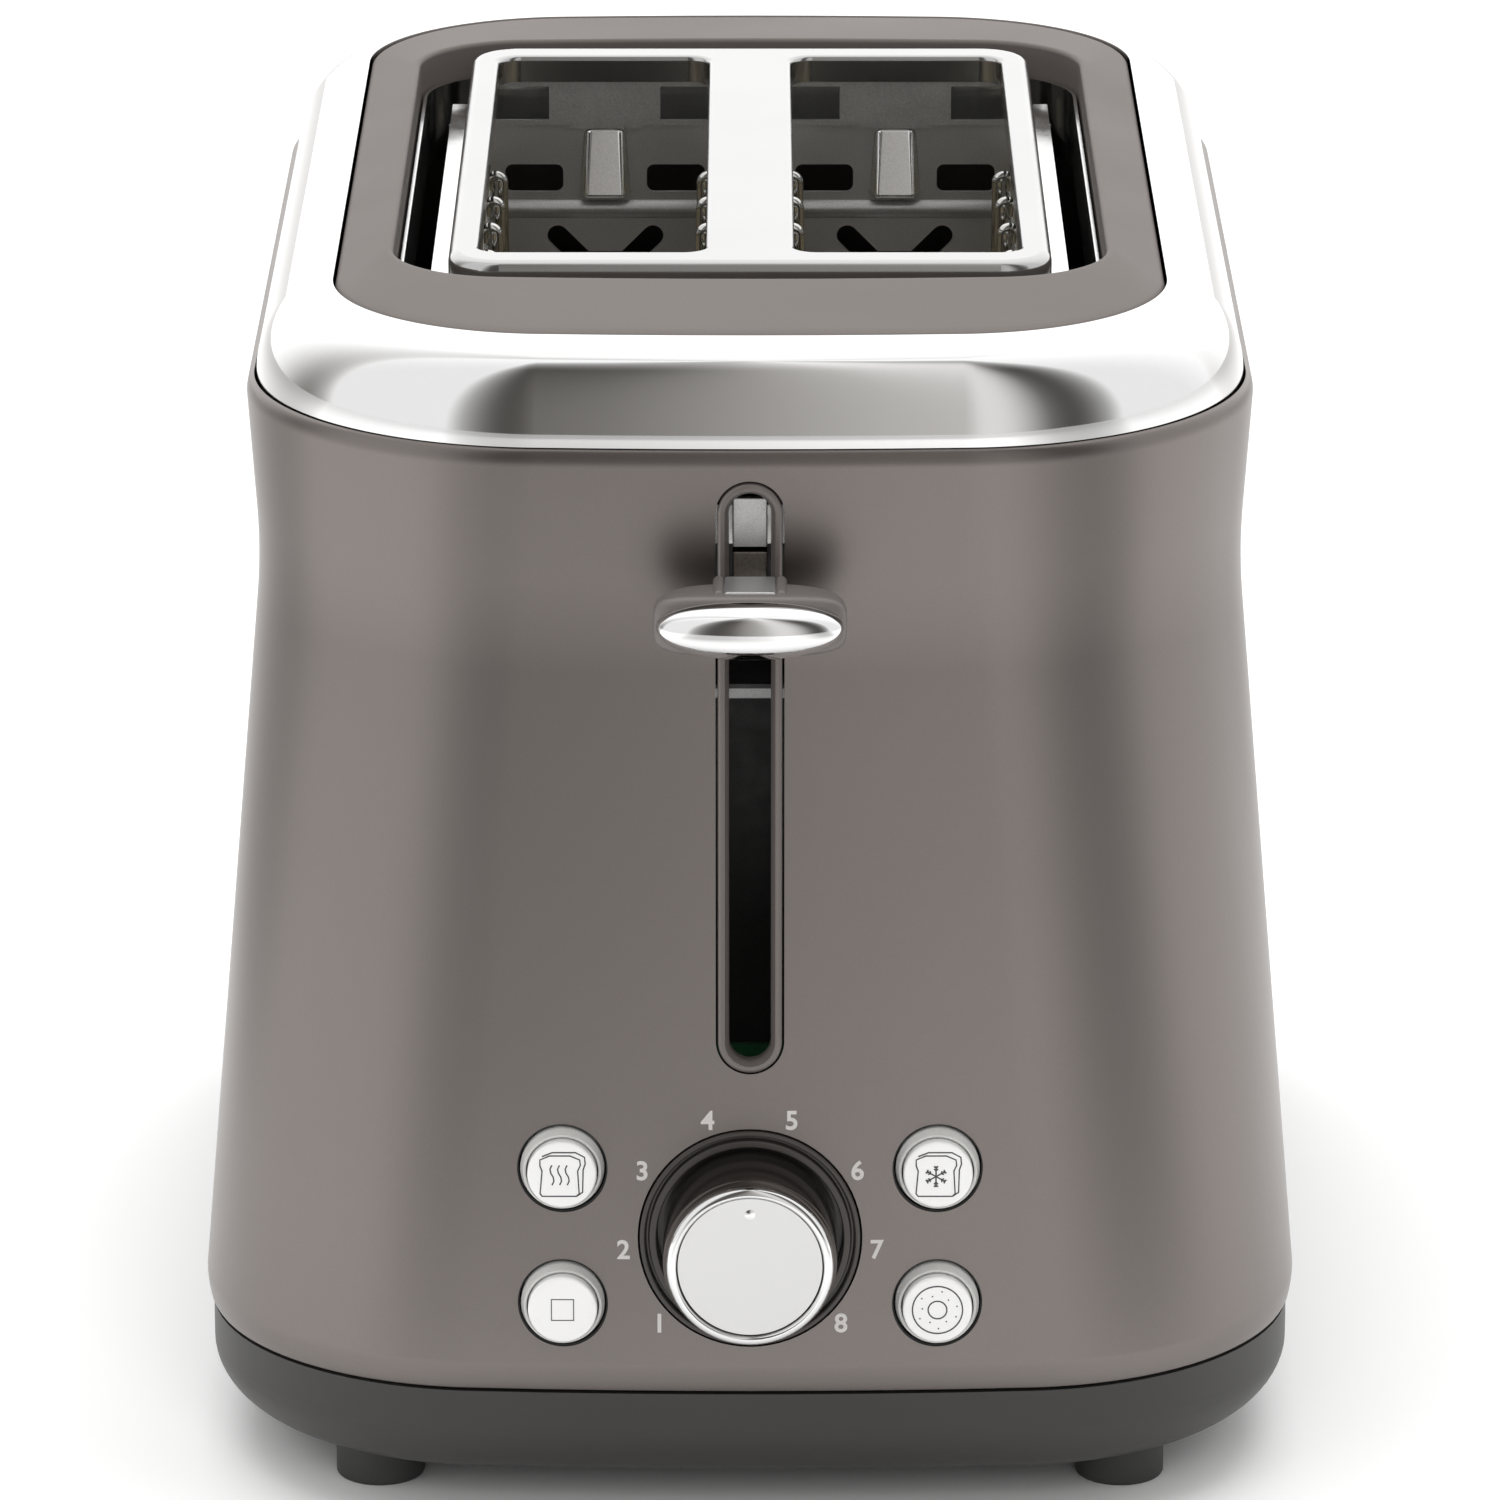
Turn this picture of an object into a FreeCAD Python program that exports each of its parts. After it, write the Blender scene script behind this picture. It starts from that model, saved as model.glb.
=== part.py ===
import FreeCAD, Part
import math
import os

from FreeCAD import Vector

os.makedirs("parts", exist_ok=True)

# Two-slot pop up toaster. Millimetres, +Z up, +Y to the rear, lever and knob at -Y.
# The origin is on the floor, under the middle of the body.

# ---- overall sizes -------------------------------------------------------------------
BODY_WIDTH = 191.9        # X, across the widest line of the shell
BODY_LENGTH = 289.1       # Y, along the widest line of the shell
TOTAL_HEIGHT = 210.0      # floor to the top face of the slot frame
FOOT_HEIGHT = 7.0         # floor to the underside of the base tray
FOOT_EDGE = 0.8
BASE_TOP = 25.0           # top of the base tray's outer wall
RIM_DROP = 19.0           # slot frame top down to the shell's rim

# ---- shell ---------------------------------------------------------------------------
SHELL_WALL = 1.4
SHELL_GAP = 0.5           # shadow gap between base tray and shell
SHELL_TUCK = 0.8          # how far the shell's lower edge turns in
TUCK_HEIGHT = 5.5
WAIST_DROP = 50.0         # slot frame top down to the waist's middle
WAIST_BLEND = 16.0        # height of the rounded waist
SHELL_TAPER = 0.0853      # lean of each wall below the waist, mm per mm
SHELL_FLARE = 0.075       # outward lean above the waist
LIP_HEIGHT = 3.0
LIP_TURN = 1.3            # how far the rim rolls in
CORNER_RADIUS = 51.0      # plan corners at the widest line
RIM_CORNER_RADIUS = 62.0  # plan corners of the rim, were they carried out to the widest line
CROWN_RADIUS = 700.0      # bow of the front and rear walls, in plan

# ---- chrome band, top ring and slot frame ----------------------------------------------
BAND_WIDTH = 13.4
BAND_WALL = 1.2
BAND_TUCK = 3.0           # how far the band reaches down inside the rim
TRIM_GAP = 0.4            # shadow gaps round the band
RING_EDGE_DROP = 2.8      # slot frame top down to the ring's outer edge
RING_INNER_DROP = 0.5     # slot frame top down to the ring's inner edge
RING_WALL = 1.8
RING_SKIRT = 9.0
LINER_OVERLAP = 5.0
LINER_GAP = 0.6
RING_LIP = 1.2            # rounded outer edge
FRAME_SIDE_GAP = 9.6      # slot frame to the ring's opening, at the sides
FRAME_END_GAP = 8.6       # the same at the ends
RING_OPENING_CORNER = 20.0
SLOT_WIDTH = 39.4
SLOT_LENGTH = 148.2
SLOT_PITCH = 54.85        # centre to centre of the two slots
SLOT_CORNER = 4.0
SLOT_COLLAR = 5.0         # depth of the rolled edge of each slot
FRAME_SIDE_BORDER = 5.2
FRAME_END_BORDER = 7.9
FRAME_CORNER = 9.0
FRAME_ROLL = 2.0          # rounded outer edge of the frame
FRAME_DEPTH = 7.5
SHEET = 0.8               # sheet steel thickness of the chassis
SLOT_ROLL = SHEET * 1.2

# ---- base tray and feet ----------------------------------------------------------------
BASE_INSET = 1.05         # base wall inside the shell's widest line
BASE_WALL = 2.4
BASE_ROUND_OUT = 14.0     # lower edge: horizontal half axis of its rounding
BASE_ROUND_UP = 11.0      # and its vertical half axis
FOOT_RADIUS = 7.75
FOOT_SPREAD_X = 64.8
FOOT_SPREAD_Y = 116.0
POST_RADIUS = 5.0
POST_BORE = 1.6
POST_X = 62.5
POST_SETBACK = 9.0        # post centre beyond the end plate
SCREW_RADIUS = 1.5
SCREW_HEAD_RADIUS = 3.2
SCREW_HEAD = 1.8

# ---- chassis ---------------------------------------------------------------------------
END_PLATE_GAP = 1.4       # slot's end to the face of the end plate
CHASSIS_MARGIN = 9.775     # slot's outer edge to the end plates' side edges
CHASSIS_BOTTOM = 27.0
VENT_CORNER = 1.4
CHASSIS_TOP_DROP = 13.7   # slot frame top down to the end plate's top edge
SIDE_PLATE_INSET = 0.8
SIDE_FLANGE = 3.4
SIDE_RIB_LOW = 118.0
SIDE_RIB_HIGH = 121.0
SIDE_RIB_IN = 12.0
SIDE_TOP_DROP = 9.6       # slot frame top down to the side plates' folded edge
RAMP_TOP_DROP = 14.3
RAMP_TAPER = 0.72
RAMP_BOTTOM_DROP = 26.7
RAMP_TOP_WIDTH = 8.0
RAMP_BOTTOM_WIDTH = 9.8
RAMP_REACH = 4.6
VENT_TOP_DROP = 21.3
VENT_BOTTOM_DROP = 26.6
VENT_OFFSET = 7.9
VENT_LENGTH = 11.0
BEAD_DROP = 30.0
BEAD_RADIUS = 2.0
BEAD_IN = 0.9
BEAD_END = 3.0
BOAT_DROP = 35.2          # the boat-shaped cut below the bead
BOAT_HALF_WIDTH = 11.0
BOAT_FLOOR_HALF = 6.0
BOAT_STROKE = 4.0
HANGER_WINDOW_LOW = 13.5
HANGER_WINDOW_HIGH = 6.0
HANGER_WINDOW_OFFSET = 10.5
HANGER_TONGUE = 7.0
LINER_WALL = 0.6
LINER_DEPTH = 14.0

# ---- heaters ---------------------------------------------------------------------------
MICA = 0.6
RIBBON = 0.25
RIBBON_TURN = 2.5
NOTCH_DEPTH = 1.5
NOTCH_HALF = 1.6
RIBBON_WIDTH = 2.2
RIBBON_ROWS = 9
CENTRE_MICA_X = 3.0       # inner face of each centre board
OUTER_MICA_GAP = 4.975    # slot's outer edge to the inner face of each outer board
MICA_BOTTOM = 62.0
MICA_TOP_DROP = 19.0
MICA_END_GAP = 1.4

# ---- bread guides ----------------------------------------------------------------------
GUIDE_WIRE = 1.0          # wire radius
GUIDE_RAIL_HEIGHTS = (98.0, 140.0)
GUIDE_RAIL_OUT = 1.4
GUIDE_EDGE_IN = 0.8       # wire centre inside the slot's edge
GUIDE_HOOK = 2.6          # wire centre to rail centre
GUIDE_TOP_DROP = 18.7
GUIDE_PIVOT_Z = 58.0
GUIDE_COUNT = 7
GUIDE_END_IN = 14.1        # slot's end to the first wire
GUIDE_PIVOT_RADIUS = 1.2
PIVOT_CLEARANCE = 0.05

# ---- lever and carriage ----------------------------------------------------------------
LEVER_DROP = 45.5         # slot frame top down to the handle's centre, at rest
LEVER_DOWN = 73.5
LEVER_UP = 12.5
TRIM_WIDTH = 11.0
TRIM_OPENING = 7.1
TRIM_PROUD = 0.9
TRIM_DEEP = 2.6
TRIM_END_MARGIN = 8.5     # from the arm's centre at its limits to the trim's end
ARM_WIDTH = 5.9
ARM_NECK_WIDTH = 7.8
ARM_HEIGHT = 7.0
HANDLE_HALF_WIDTH = 16.2
HANDLE_REAR_HALF = 10.5
HANDLE_HEIGHT = 9.8
HANDLE_STANDOFF = 0.5     # handle's back to the trim, at the bottom of its travel
HANDLE_REACH = 17.6       # handle's front beyond its back
HANDLE_ROUND = 1.8
HANDLE_BULGE = 0.7
HANDLE_SHOULDER = 3.0     # widest point behind the cap's back
CAP_HALF_WIDTH = 14.6
CAP_HEIGHT = 8.6
CAP_DEPTH = 6.6
CAP_ROUND = 3.2
CAP_BOW = 1.0
NECK_DEPTH = 9.0
ROD_RADIUS = 2.5
ROD_X = 19.0
ROD_SETBACK = 20.0        # rod's centre in front of the end plate
ROD_CLEARANCE = 0.05
BUSH_RADIUS = 5.2
BUSH_LENGTH = 20.0
BUSH_BOTTOM = 134.0
BRACKET_LOW = 40.0
BRACKET_TOP_DROP = 26.0
BRACKET_HALF_WIDTH = 32.0
BRACKET_DEPTH = 28.0
BRACKET_LIP_LOW = 8.0
BRACKET_LIP_TOP = 4.0
SPRING_RADIUS = 4.4
SPRING_WIRE = 0.55
SPRING_TURNS = 13
CARRIAGE_HALF_WIDTH = 31.5
CARRIAGE_SETBACK = 9.0    # carriage plate in front of the end plate
RACK_HALF_WIDTH = 13.0
RACK_TOP = 149.0
RACK_STRIP = 9.0
RACK_FINGERS = 8
FINGER_RADIUS = 1.2
FINGER_DROP = 1.0
FINGER_IN = 9.0
RACK_SLOT_CLEARANCE = 0.9
ARMATURE_HALF = 9.0
ARMATURE_THICK = 2.0
MAGNET_GAP = 0.5
COIL_RADIUS = 8.0
CORE_RADIUS = 3.6

# ---- controls --------------------------------------------------------------------------
KNOB_Z = 53.3
KNOB_RADIUS = 14.85
KNOB_RIM_STEP = 0.55       # rim's outside in from the skirt's
KNOB_RIM_WIDTH = 1.8
KNOB_SKIRT_EDGE = 0.45
KNOB_RIM_EDGE = 0.9
KNOB_WALL = 1.6
HUB_WALL = 1.8
HUB_SEAT = 2.5
KNOB_PROUD = 14.8         # face beyond the shell's skin
KNOB_RIM_DEPTH = 2.6
KNOB_SINK = 3.5           # skirt's rear behind the skin
POINTER_RADIUS = 0.9
POINTER_IN = 3.1           # pointer's centre in from the disc's edge
COLLAR_CLEARANCE = 1.15    # knob's skirt to the collar's opening
COLLAR_WIDTH = 2.9
COLLAR_PROUD = 0.6
COLLAR_DEEP = 6.0
COLLAR_FLOOR = 1.2
SHAFT_RADIUS = 3.0
SHAFT_CLEARANCE = 0.05
BUTTON_X = 32.1
BUTTON_LOW = 41.6
BUTTON_HIGH = 65.4
BUTTON_HOLE_RADIUS = 8.05
BUTTON_WELL_WALL = 0.5
BUTTON_RING_RADIUS = 7.2
BUTTON_CAP_RADIUS = 5.95
BUTTON_CAP_PROUD = 2.7
BUTTON_RING_PROUD = 1.7
BUTTON_TRAVEL = 1.5
BUTTON_STEM_RADIUS = 2.4
CARRIER_DEPTH = 9.0       # skin at the knob to the carrier's front face
CARRIER_THICK = 2.0
BOARD_DEPTH = 24.0        # skin at the knob to the control board
BOARD_THICK = 1.6
BOARD_HALF_WIDTH = 42.0
BOARD_LOW = 32.0
BOARD_HIGH = 80.0
POT_SIZE = 17.0
POT_DEPTH = 8.0
POT_NOSE_RADIUS = 4.6
SWITCH_SIZE = 6.2
SWITCH_HEIGHT = 3.5
PLUNGER_RADIUS = 1.7
PLUNGER_HEIGHT = 1.5
SWITCH_GAP = 0.2          # stem to plunger at the end of the button's travel

# ---- crumb tray, cord entry -------------------------------------------------------------
CRUMB_HALF_WIDTH = 50.0
CRUMB_LOW = 12.0
CRUMB_HEIGHT = 7.5
CRUMB_SHEET = 0.8
CRUMB_CLEARANCE = 0.8
CRUMB_HANDLE_HALF = 32.0
CRUMB_HANDLE_PROUD = 2.5
GLAND_X = 66.0
GLAND_Z = 17.6
GLAND_BORE = 3.6
GLAND_RADIUS = 5.2
GLAND_FLANGE = 6.6
GLAND_FLANGE_DEPTH = 2.0
GLAND_LENGTH = 11.0
BOSS_RADIUS = 7.2
LEAD_RADIUS = 1.3

# ---- places worked out from the sizes above ---------------------------------------------
HALF_WIDTH = BODY_WIDTH / 2
HALF_LENGTH = BODY_LENGTH / 2
SHELL_BOTTOM = BASE_TOP + SHELL_GAP
WIDE_Z = SHELL_BOTTOM + TUCK_HEIGHT
RIM_Z = TOTAL_HEIGHT - RIM_DROP
WAIST_Z = TOTAL_HEIGHT - WAIST_DROP
BLEND_LOW = WAIST_Z - WAIST_BLEND / 2
BLEND_HIGH = WAIST_Z + WAIST_BLEND / 2
LIP_Z = RIM_Z - LIP_HEIGHT
SLOT_X = SLOT_PITCH / 2
SLOT_OUTER_X = SLOT_X + SLOT_WIDTH / 2
FRAME_HALF_X = SLOT_OUTER_X + FRAME_SIDE_BORDER
FRAME_HALF_Y = SLOT_LENGTH / 2 + FRAME_END_BORDER
END_FACE = SLOT_LENGTH / 2 + END_PLATE_GAP
END_BACK = END_FACE + SHEET
CHASSIS_TOP = TOTAL_HEIGHT - CHASSIS_TOP_DROP
CHASSIS_HALF_WIDTH = SLOT_OUTER_X + CHASSIS_MARGIN
OUTER_MICA_X = SLOT_OUTER_X + OUTER_MICA_GAP
LEVER_Z = TOTAL_HEIGHT - LEVER_DROP
ROD_Y = -(END_BACK + ROD_SETBACK)
CARRIAGE_Y = -(END_BACK + CARRIAGE_SETBACK)
BRACKET_TOP = TOTAL_HEIGHT - BRACKET_TOP_DROP
KNOB_RIM_RADIUS = KNOB_RADIUS - KNOB_RIM_STEP
KNOB_DISC_RADIUS = KNOB_RIM_RADIUS - KNOB_RIM_WIDTH
POINTER_OFFSET = KNOB_DISC_RADIUS - POINTER_IN
COLLAR_OPENING = KNOB_RADIUS + COLLAR_CLEARANCE
COLLAR_RADIUS = COLLAR_OPENING + COLLAR_WIDTH


# ---- helpers ----------------------------------------------------------------------------
def box(x0, x1, y0, y1, z0, z1):
    """An upright box between two corners."""
    return Part.makeBox(x1 - x0, y1 - y0, z1 - z0, Vector(x0, y0, z0))


def rod(radius, start, end):
    """A round bar between two points."""
    a = Vector(*start)
    b = Vector(*end)
    return Part.makeCylinder(radius, (b - a).Length, a, b - a)


def tube(outer, inner, start, end):
    """A round pipe between two points."""
    return rod(outer, start, end).cut(rod(inner, start, end))


def both_sides(shape):
    """A shape and its mirror image across the YZ plane."""
    return [shape, shape.mirror(Vector(0, 0, 0), Vector(1, 0, 0))]


def joined(shapes):
    """Several touching solids as one."""
    whole = shapes[0].multiFuse(shapes[1:])
    return whole.removeSplitter()


def plan(half_x, half_y, corner, z, crown=CROWN_RADIUS):
    """A closed outline at height z: straight sides, bowed ends and round corners."""
    bow_y = half_y - crown
    side_x = half_x - corner
    centre_y = bow_y + math.sqrt((crown - corner) ** 2 - side_x ** 2)
    lean = math.atan2(centre_y - bow_y, side_x)
    mid = lean / 2

    def point(x, y):
        return Vector(x, y, z)

    def arc(a, b, c):
        return Part.Arc(point(*a), point(*b), point(*c)).toShape()

    tangent = (side_x + corner * math.cos(lean), centre_y + corner * math.sin(lean))
    middle = (side_x + corner * math.cos(mid), centre_y + corner * math.sin(mid))
    start = (half_x, centre_y)
    edges = []
    edges.append(Part.LineSegment(point(half_x, -centre_y), point(*start)).toShape())
    edges.append(arc(start, middle, tangent))
    edges.append(arc(tangent, (0, half_y), (-tangent[0], tangent[1])))
    edges.append(arc((-tangent[0], tangent[1]), (-middle[0], middle[1]), (-half_x, centre_y)))
    edges.append(Part.LineSegment(point(-half_x, centre_y), point(-half_x, -centre_y)).toShape())
    edges.append(arc((-half_x, -centre_y), (-middle[0], -middle[1]), (-tangent[0], -tangent[1])))
    edges.append(arc((-tangent[0], -tangent[1]), (0, -half_y), (tangent[0], -tangent[1])))
    edges.append(arc((tangent[0], -tangent[1]), (middle[0], -middle[1]), (half_x, -centre_y)))
    return Part.Wire(edges)


def block(half_x, half_y, corner, z0, z1, crown=CROWN_RADIUS):
    """An upright prism with the plan outline."""
    face = Part.Face(plan(half_x, half_y, corner, z0, crown))
    return face.extrude(Vector(0, 0, z1 - z0))


def corner_at(z):
    """The plan corner radius at height z, carried out to the widest line."""
    share = min(max((z - WIDE_Z) / (LIP_Z - WIDE_Z), 0.0), 1.0)
    return CORNER_RADIUS + (RIM_CORNER_RADIUS - CORNER_RADIUS) * share


def inset_plan(inset, z):
    """The body's outline at height z, moved in all round from the widest line by inset."""
    return plan(HALF_WIDTH - inset, HALF_LENGTH - inset, corner_at(z) - inset, z,
                CROWN_RADIUS - inset)


def inset_block(inset, z0, z1):
    """An upright prism with the body's outline moved in by inset."""
    return Part.Face(inset_plan(inset, z0)).extrude(Vector(0, 0, z1 - z0))


def loft(sections, ruled=False):
    """A solid through (inset, height) sections of the body's outline."""
    return Part.makeLoft([inset_plan(i, z) for i, z in sections], True, ruled)


def racetrack(width, z0, z1, y0, y1):
    """A bar along Y whose section is an upright slot shape, centred on X = 0."""
    r = width / 2
    shapes = [box(-r, r, y0, y1, z0 + r, z1 - r)]
    shapes.append(rod(r, (0, y0, z0 + r), (0, y1, z0 + r)))
    shapes.append(rod(r, (0, y0, z1 - r), (0, y1, z1 - r)))
    return joined(shapes)


def polygon_prism(points, thickness_vector):
    """A prism from a closed polygon of 3-D points."""
    wire = Part.makePolygon([Vector(*p) for p in points + points[:1]])
    return Part.Face(wire).extrude(Vector(*thickness_vector))


def save(name, *solids):
    """Writes one node's solids to its STEP file."""
    whole = []
    for solid in solids:
        whole.extend(solid.Solids)
    shape = whole[0] if len(whole) == 1 else Part.makeCompound(whole)
    if not shape.isValid():
        print("not valid:", name)
    shape.exportStep("parts/" + name + ".step")
    return shape


# ---- shell ------------------------------------------------------------------------------
def shell_inset(z):
    """How far the shell's outer wall stands inside the widest line, at height z."""
    if z < WIDE_Z:
        return SHELL_TUCK * ((WIDE_Z - z) / TUCK_HEIGHT) ** 2
    if z < BLEND_LOW:
        return SHELL_TAPER * (z - WIDE_Z)
    at_blend = SHELL_TAPER * (BLEND_LOW - WIDE_Z)
    rise = min(z, BLEND_HIGH) - BLEND_LOW
    bend = (SHELL_TAPER + SHELL_FLARE) / (2 * WAIST_BLEND)
    inset = at_blend + SHELL_TAPER * rise - bend * rise ** 2
    if z > BLEND_HIGH:
        inset -= SHELL_FLARE * (z - BLEND_HIGH)
    return inset


def skin_y(z):
    """Y of the shell's front skin on the centre line, at height z."""
    return -(HALF_LENGTH - shell_inset(z))


def heights(low, high, count):
    """Evenly spaced heights, both ends included."""
    return [low + (high - low) * i / (count - 1) for i in range(count)]


def shell_volume(offset, low=SHELL_BOTTOM, high=RIM_Z, lip=True):
    """The shell's outer form moved out by offset, as a solid."""
    top = LIP_Z if lip else high
    tuck = [(shell_inset(z) - offset, z) for z in heights(low, WIDE_Z, 4)]
    wall = [(shell_inset(z) - offset, z) for z in heights(WIDE_Z, BLEND_LOW, 5)]
    waist = [(shell_inset(z) - offset, z) for z in heights(BLEND_LOW, BLEND_HIGH, 7)]
    flare = [(shell_inset(z) - offset, z) for z in (BLEND_HIGH, (BLEND_HIGH + top) / 2, top)]
    pieces = [loft(tuck), loft(wall, True), loft(waist), loft(flare, True)]
    if lip:
        edge = shell_inset(LIP_Z) - offset
        turns = [math.radians(a) for a in (0, 30, 60, 90)]
        rolled = [(edge + LIP_TURN * (1 - math.cos(a)), LIP_Z + LIP_HEIGHT * math.sin(a))
                  for a in turns]
        pieces.append(loft(rolled))
    whole = pieces[0].multiFuse(pieces[1:])
    return whole


RIM_INSET = shell_inset(LIP_Z) + LIP_TURN
LEVER_SLOT_LOW = LEVER_Z - LEVER_DOWN - TRIM_END_MARGIN
LEVER_SLOT_HIGH = LEVER_Z + LEVER_UP + TRIM_END_MARGIN
FAR_FRONT = -(HALF_LENGTH + 20.0)
SKIN_AT_KNOB = skin_y(KNOB_Z)
BUTTONS = {
    "reheat": (-BUTTON_X, BUTTON_HIGH),
    "defrost": (BUTTON_X, BUTTON_HIGH),
    "stop": (-BUTTON_X, BUTTON_LOW),
    "bagel": (BUTTON_X, BUTTON_LOW),
}


def make_shell():
    outer = shell_volume(0.0)
    inner = shell_volume(-SHELL_WALL, lip=False)
    wall = outer.cut(inner)
    cuts = [racetrack(TRIM_WIDTH + 2 * TRIM_GAP, LEVER_SLOT_LOW - TRIM_GAP, LEVER_SLOT_HIGH + TRIM_GAP,
                      FAR_FRONT, -END_BACK)]
    cuts.append(rod(COLLAR_RADIUS + TRIM_GAP, (0, FAR_FRONT, KNOB_Z), (0, -END_BACK, KNOB_Z)))
    for x, z in BUTTONS.values():
        cuts.append(rod(BUTTON_HOLE_RADIUS, (x, FAR_FRONT, z), (x, -END_BACK, z)))
    for cut in cuts:
        wall = wall.cut(cut)
    save("body_shell", wall)


def make_trims():
    """The lever slot's trim and the knob's collar, which follow the leaning skin."""
    low = LEVER_SLOT_LOW
    high = LEVER_SLOT_HIGH
    front = loft([(shell_inset(z) - TRIM_PROUD, z) for z in heights(low - 2, BLEND_LOW, 3)], True)
    waist = loft([(shell_inset(z) - TRIM_PROUD, z) for z in heights(BLEND_LOW, BLEND_HIGH, 7)])
    top = loft([(shell_inset(z) - TRIM_PROUD, z) for z in (BLEND_HIGH, high + 2)], True)
    outer = front.multiFuse([waist, top])
    deep = []
    for z0, z1, count, ruled in ((low - 3, BLEND_LOW, 3, True), (BLEND_LOW, BLEND_HIGH, 7, False),
                                 (BLEND_HIGH, high + 3, 2, True)):
        sections = [(shell_inset(z) + TRIM_DEEP, z) for z in heights(z0, z1, count)]
        deep.append(loft(sections, ruled))
    inner = deep[0].multiFuse(deep[1:])
    ring = racetrack(TRIM_WIDTH, low, high, FAR_FRONT, -END_BACK)
    step = (TRIM_WIDTH - TRIM_OPENING) / 2
    ring = ring.cut(racetrack(TRIM_OPENING, low + step, high - step, FAR_FRONT, -END_BACK))
    save("lever_slot_trim", ring.common(outer).cut(inner))

    reach = COLLAR_RADIUS + 3
    sections = [(shell_inset(z) - COLLAR_PROUD, z) for z in (KNOB_Z - reach, KNOB_Z + reach)]
    outer = loft(sections, True)
    collar = rod(COLLAR_RADIUS, (0, FAR_FRONT, KNOB_Z), (0, SKIN_AT_KNOB + COLLAR_DEEP, KNOB_Z))
    well = rod(COLLAR_OPENING, (0, FAR_FRONT, KNOB_Z), (0, SKIN_AT_KNOB + COLLAR_DEEP - COLLAR_FLOOR, KNOB_Z))
    eye = rod(POT_NOSE_RADIUS + TRIM_GAP, (0, FAR_FRONT, KNOB_Z), (0, -END_BACK, KNOB_Z))
    save("knob_collar", collar.common(outer).cut(well).cut(eye))


# ---- top: chrome band, ring, slot frame ---------------------------------------------------
BAND_INSET = RIM_INSET + TRIM_GAP
RING_INSET = BAND_INSET + BAND_WIDTH + TRIM_GAP
RING_EDGE_Z = TOTAL_HEIGHT - RING_EDGE_DROP
RING_INNER_Z = TOTAL_HEIGHT - RING_INNER_DROP
RING_OPEN_X = FRAME_HALF_X + FRAME_SIDE_GAP
RING_OPEN_Y = FRAME_HALF_Y + FRAME_END_GAP


def band_form(wall):
    """The band's rolled form, thinner by wall, from inside the rim up to the ring."""
    bottom = RIM_Z - BAND_TUCK
    height = RING_EDGE_Z - RIM_Z - wall
    width = BAND_WIDTH - wall
    rolled = []
    for angle in heights(0, 90, 8):
        a = math.radians(angle)
        across = BAND_INSET + wall + width * (1 - math.cos(a))
        rolled.append((across, RIM_Z + height * math.sin(a)))
    tuck = inset_block(BAND_INSET + wall, bottom, RIM_Z)
    return tuck.fuse(loft(rolled))


def make_band():
    outer = band_form(0.0)
    inner = band_form(BAND_WALL)
    drop = inset_block(BAND_INSET + BAND_WIDTH, RIM_Z - BAND_TUCK, TOTAL_HEIGHT)
    save("chrome_band", outer.cut(inner).cut(drop))


def ring_form(grow_out, grow_in, drop):
    """The ring's sloping block: outer outline moved in, opening outline moved out."""
    outer = inset_plan(RING_INSET + grow_out, RING_EDGE_Z - drop)
    inner = plan(RING_OPEN_X + grow_in, RING_OPEN_Y + grow_in, RING_OPENING_CORNER + grow_in,
                 RING_INNER_Z - drop)
    slope = Part.makeLoft([outer, inner], True, True)
    skirt = inset_block(RING_INSET + grow_out, RING_EDGE_Z - RING_SKIRT, RING_EDGE_Z - drop)
    return slope.fuse(skirt)


def make_ring():
    outer_low = RING_EDGE_Z - RING_LIP
    lip = [(RING_INSET + RING_LIP * (1 - math.cos(math.radians(a))),
            outer_low + RING_LIP * math.sin(math.radians(a))) for a in (0, 30, 60, 90)]
    edge = inset_plan(RING_INSET + RING_LIP, RING_EDGE_Z)
    inner = plan(RING_OPEN_X, RING_OPEN_Y, RING_OPENING_CORNER, RING_INNER_Z)
    slope = Part.makeLoft([edge, inner], True, True)
    skirt = inset_block(RING_INSET, RING_EDGE_Z - RING_SKIRT, outer_low)
    whole = skirt.multiFuse([loft(lip), slope])
    opening = block(RING_OPEN_X, RING_OPEN_Y, RING_OPENING_CORNER, RING_EDGE_Z - RING_SKIRT - 1,
                    TOTAL_HEIGHT + 1)
    under = ring_form(RING_WALL, RING_WALL, RING_WALL)
    kept_wall = block(RING_OPEN_X + RING_WALL, RING_OPEN_Y + RING_WALL,
                      RING_OPENING_CORNER + RING_WALL, RING_EDGE_Z - RING_SKIRT - 1, TOTAL_HEIGHT + 1)
    hollow = under.cut(kept_wall)
    save("top_ring", whole.cut(opening).cut(hollow))


def slot_block(side, grow, z0, z1):
    """An upright prism with one bread slot's outline, grown by grow."""
    x0 = side * SLOT_X - SLOT_WIDTH / 2 - grow
    x1 = side * SLOT_X + SLOT_WIDTH / 2 + grow
    y = SLOT_LENGTH / 2 + grow
    prism = box(x0, x1, -y, y, z0, z1)
    upright = [e for e in prism.Edges if abs(e.Vertexes[0].Z - e.Vertexes[1].Z) > 1]
    return prism.makeFillet(SLOT_CORNER + grow, upright)


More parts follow.
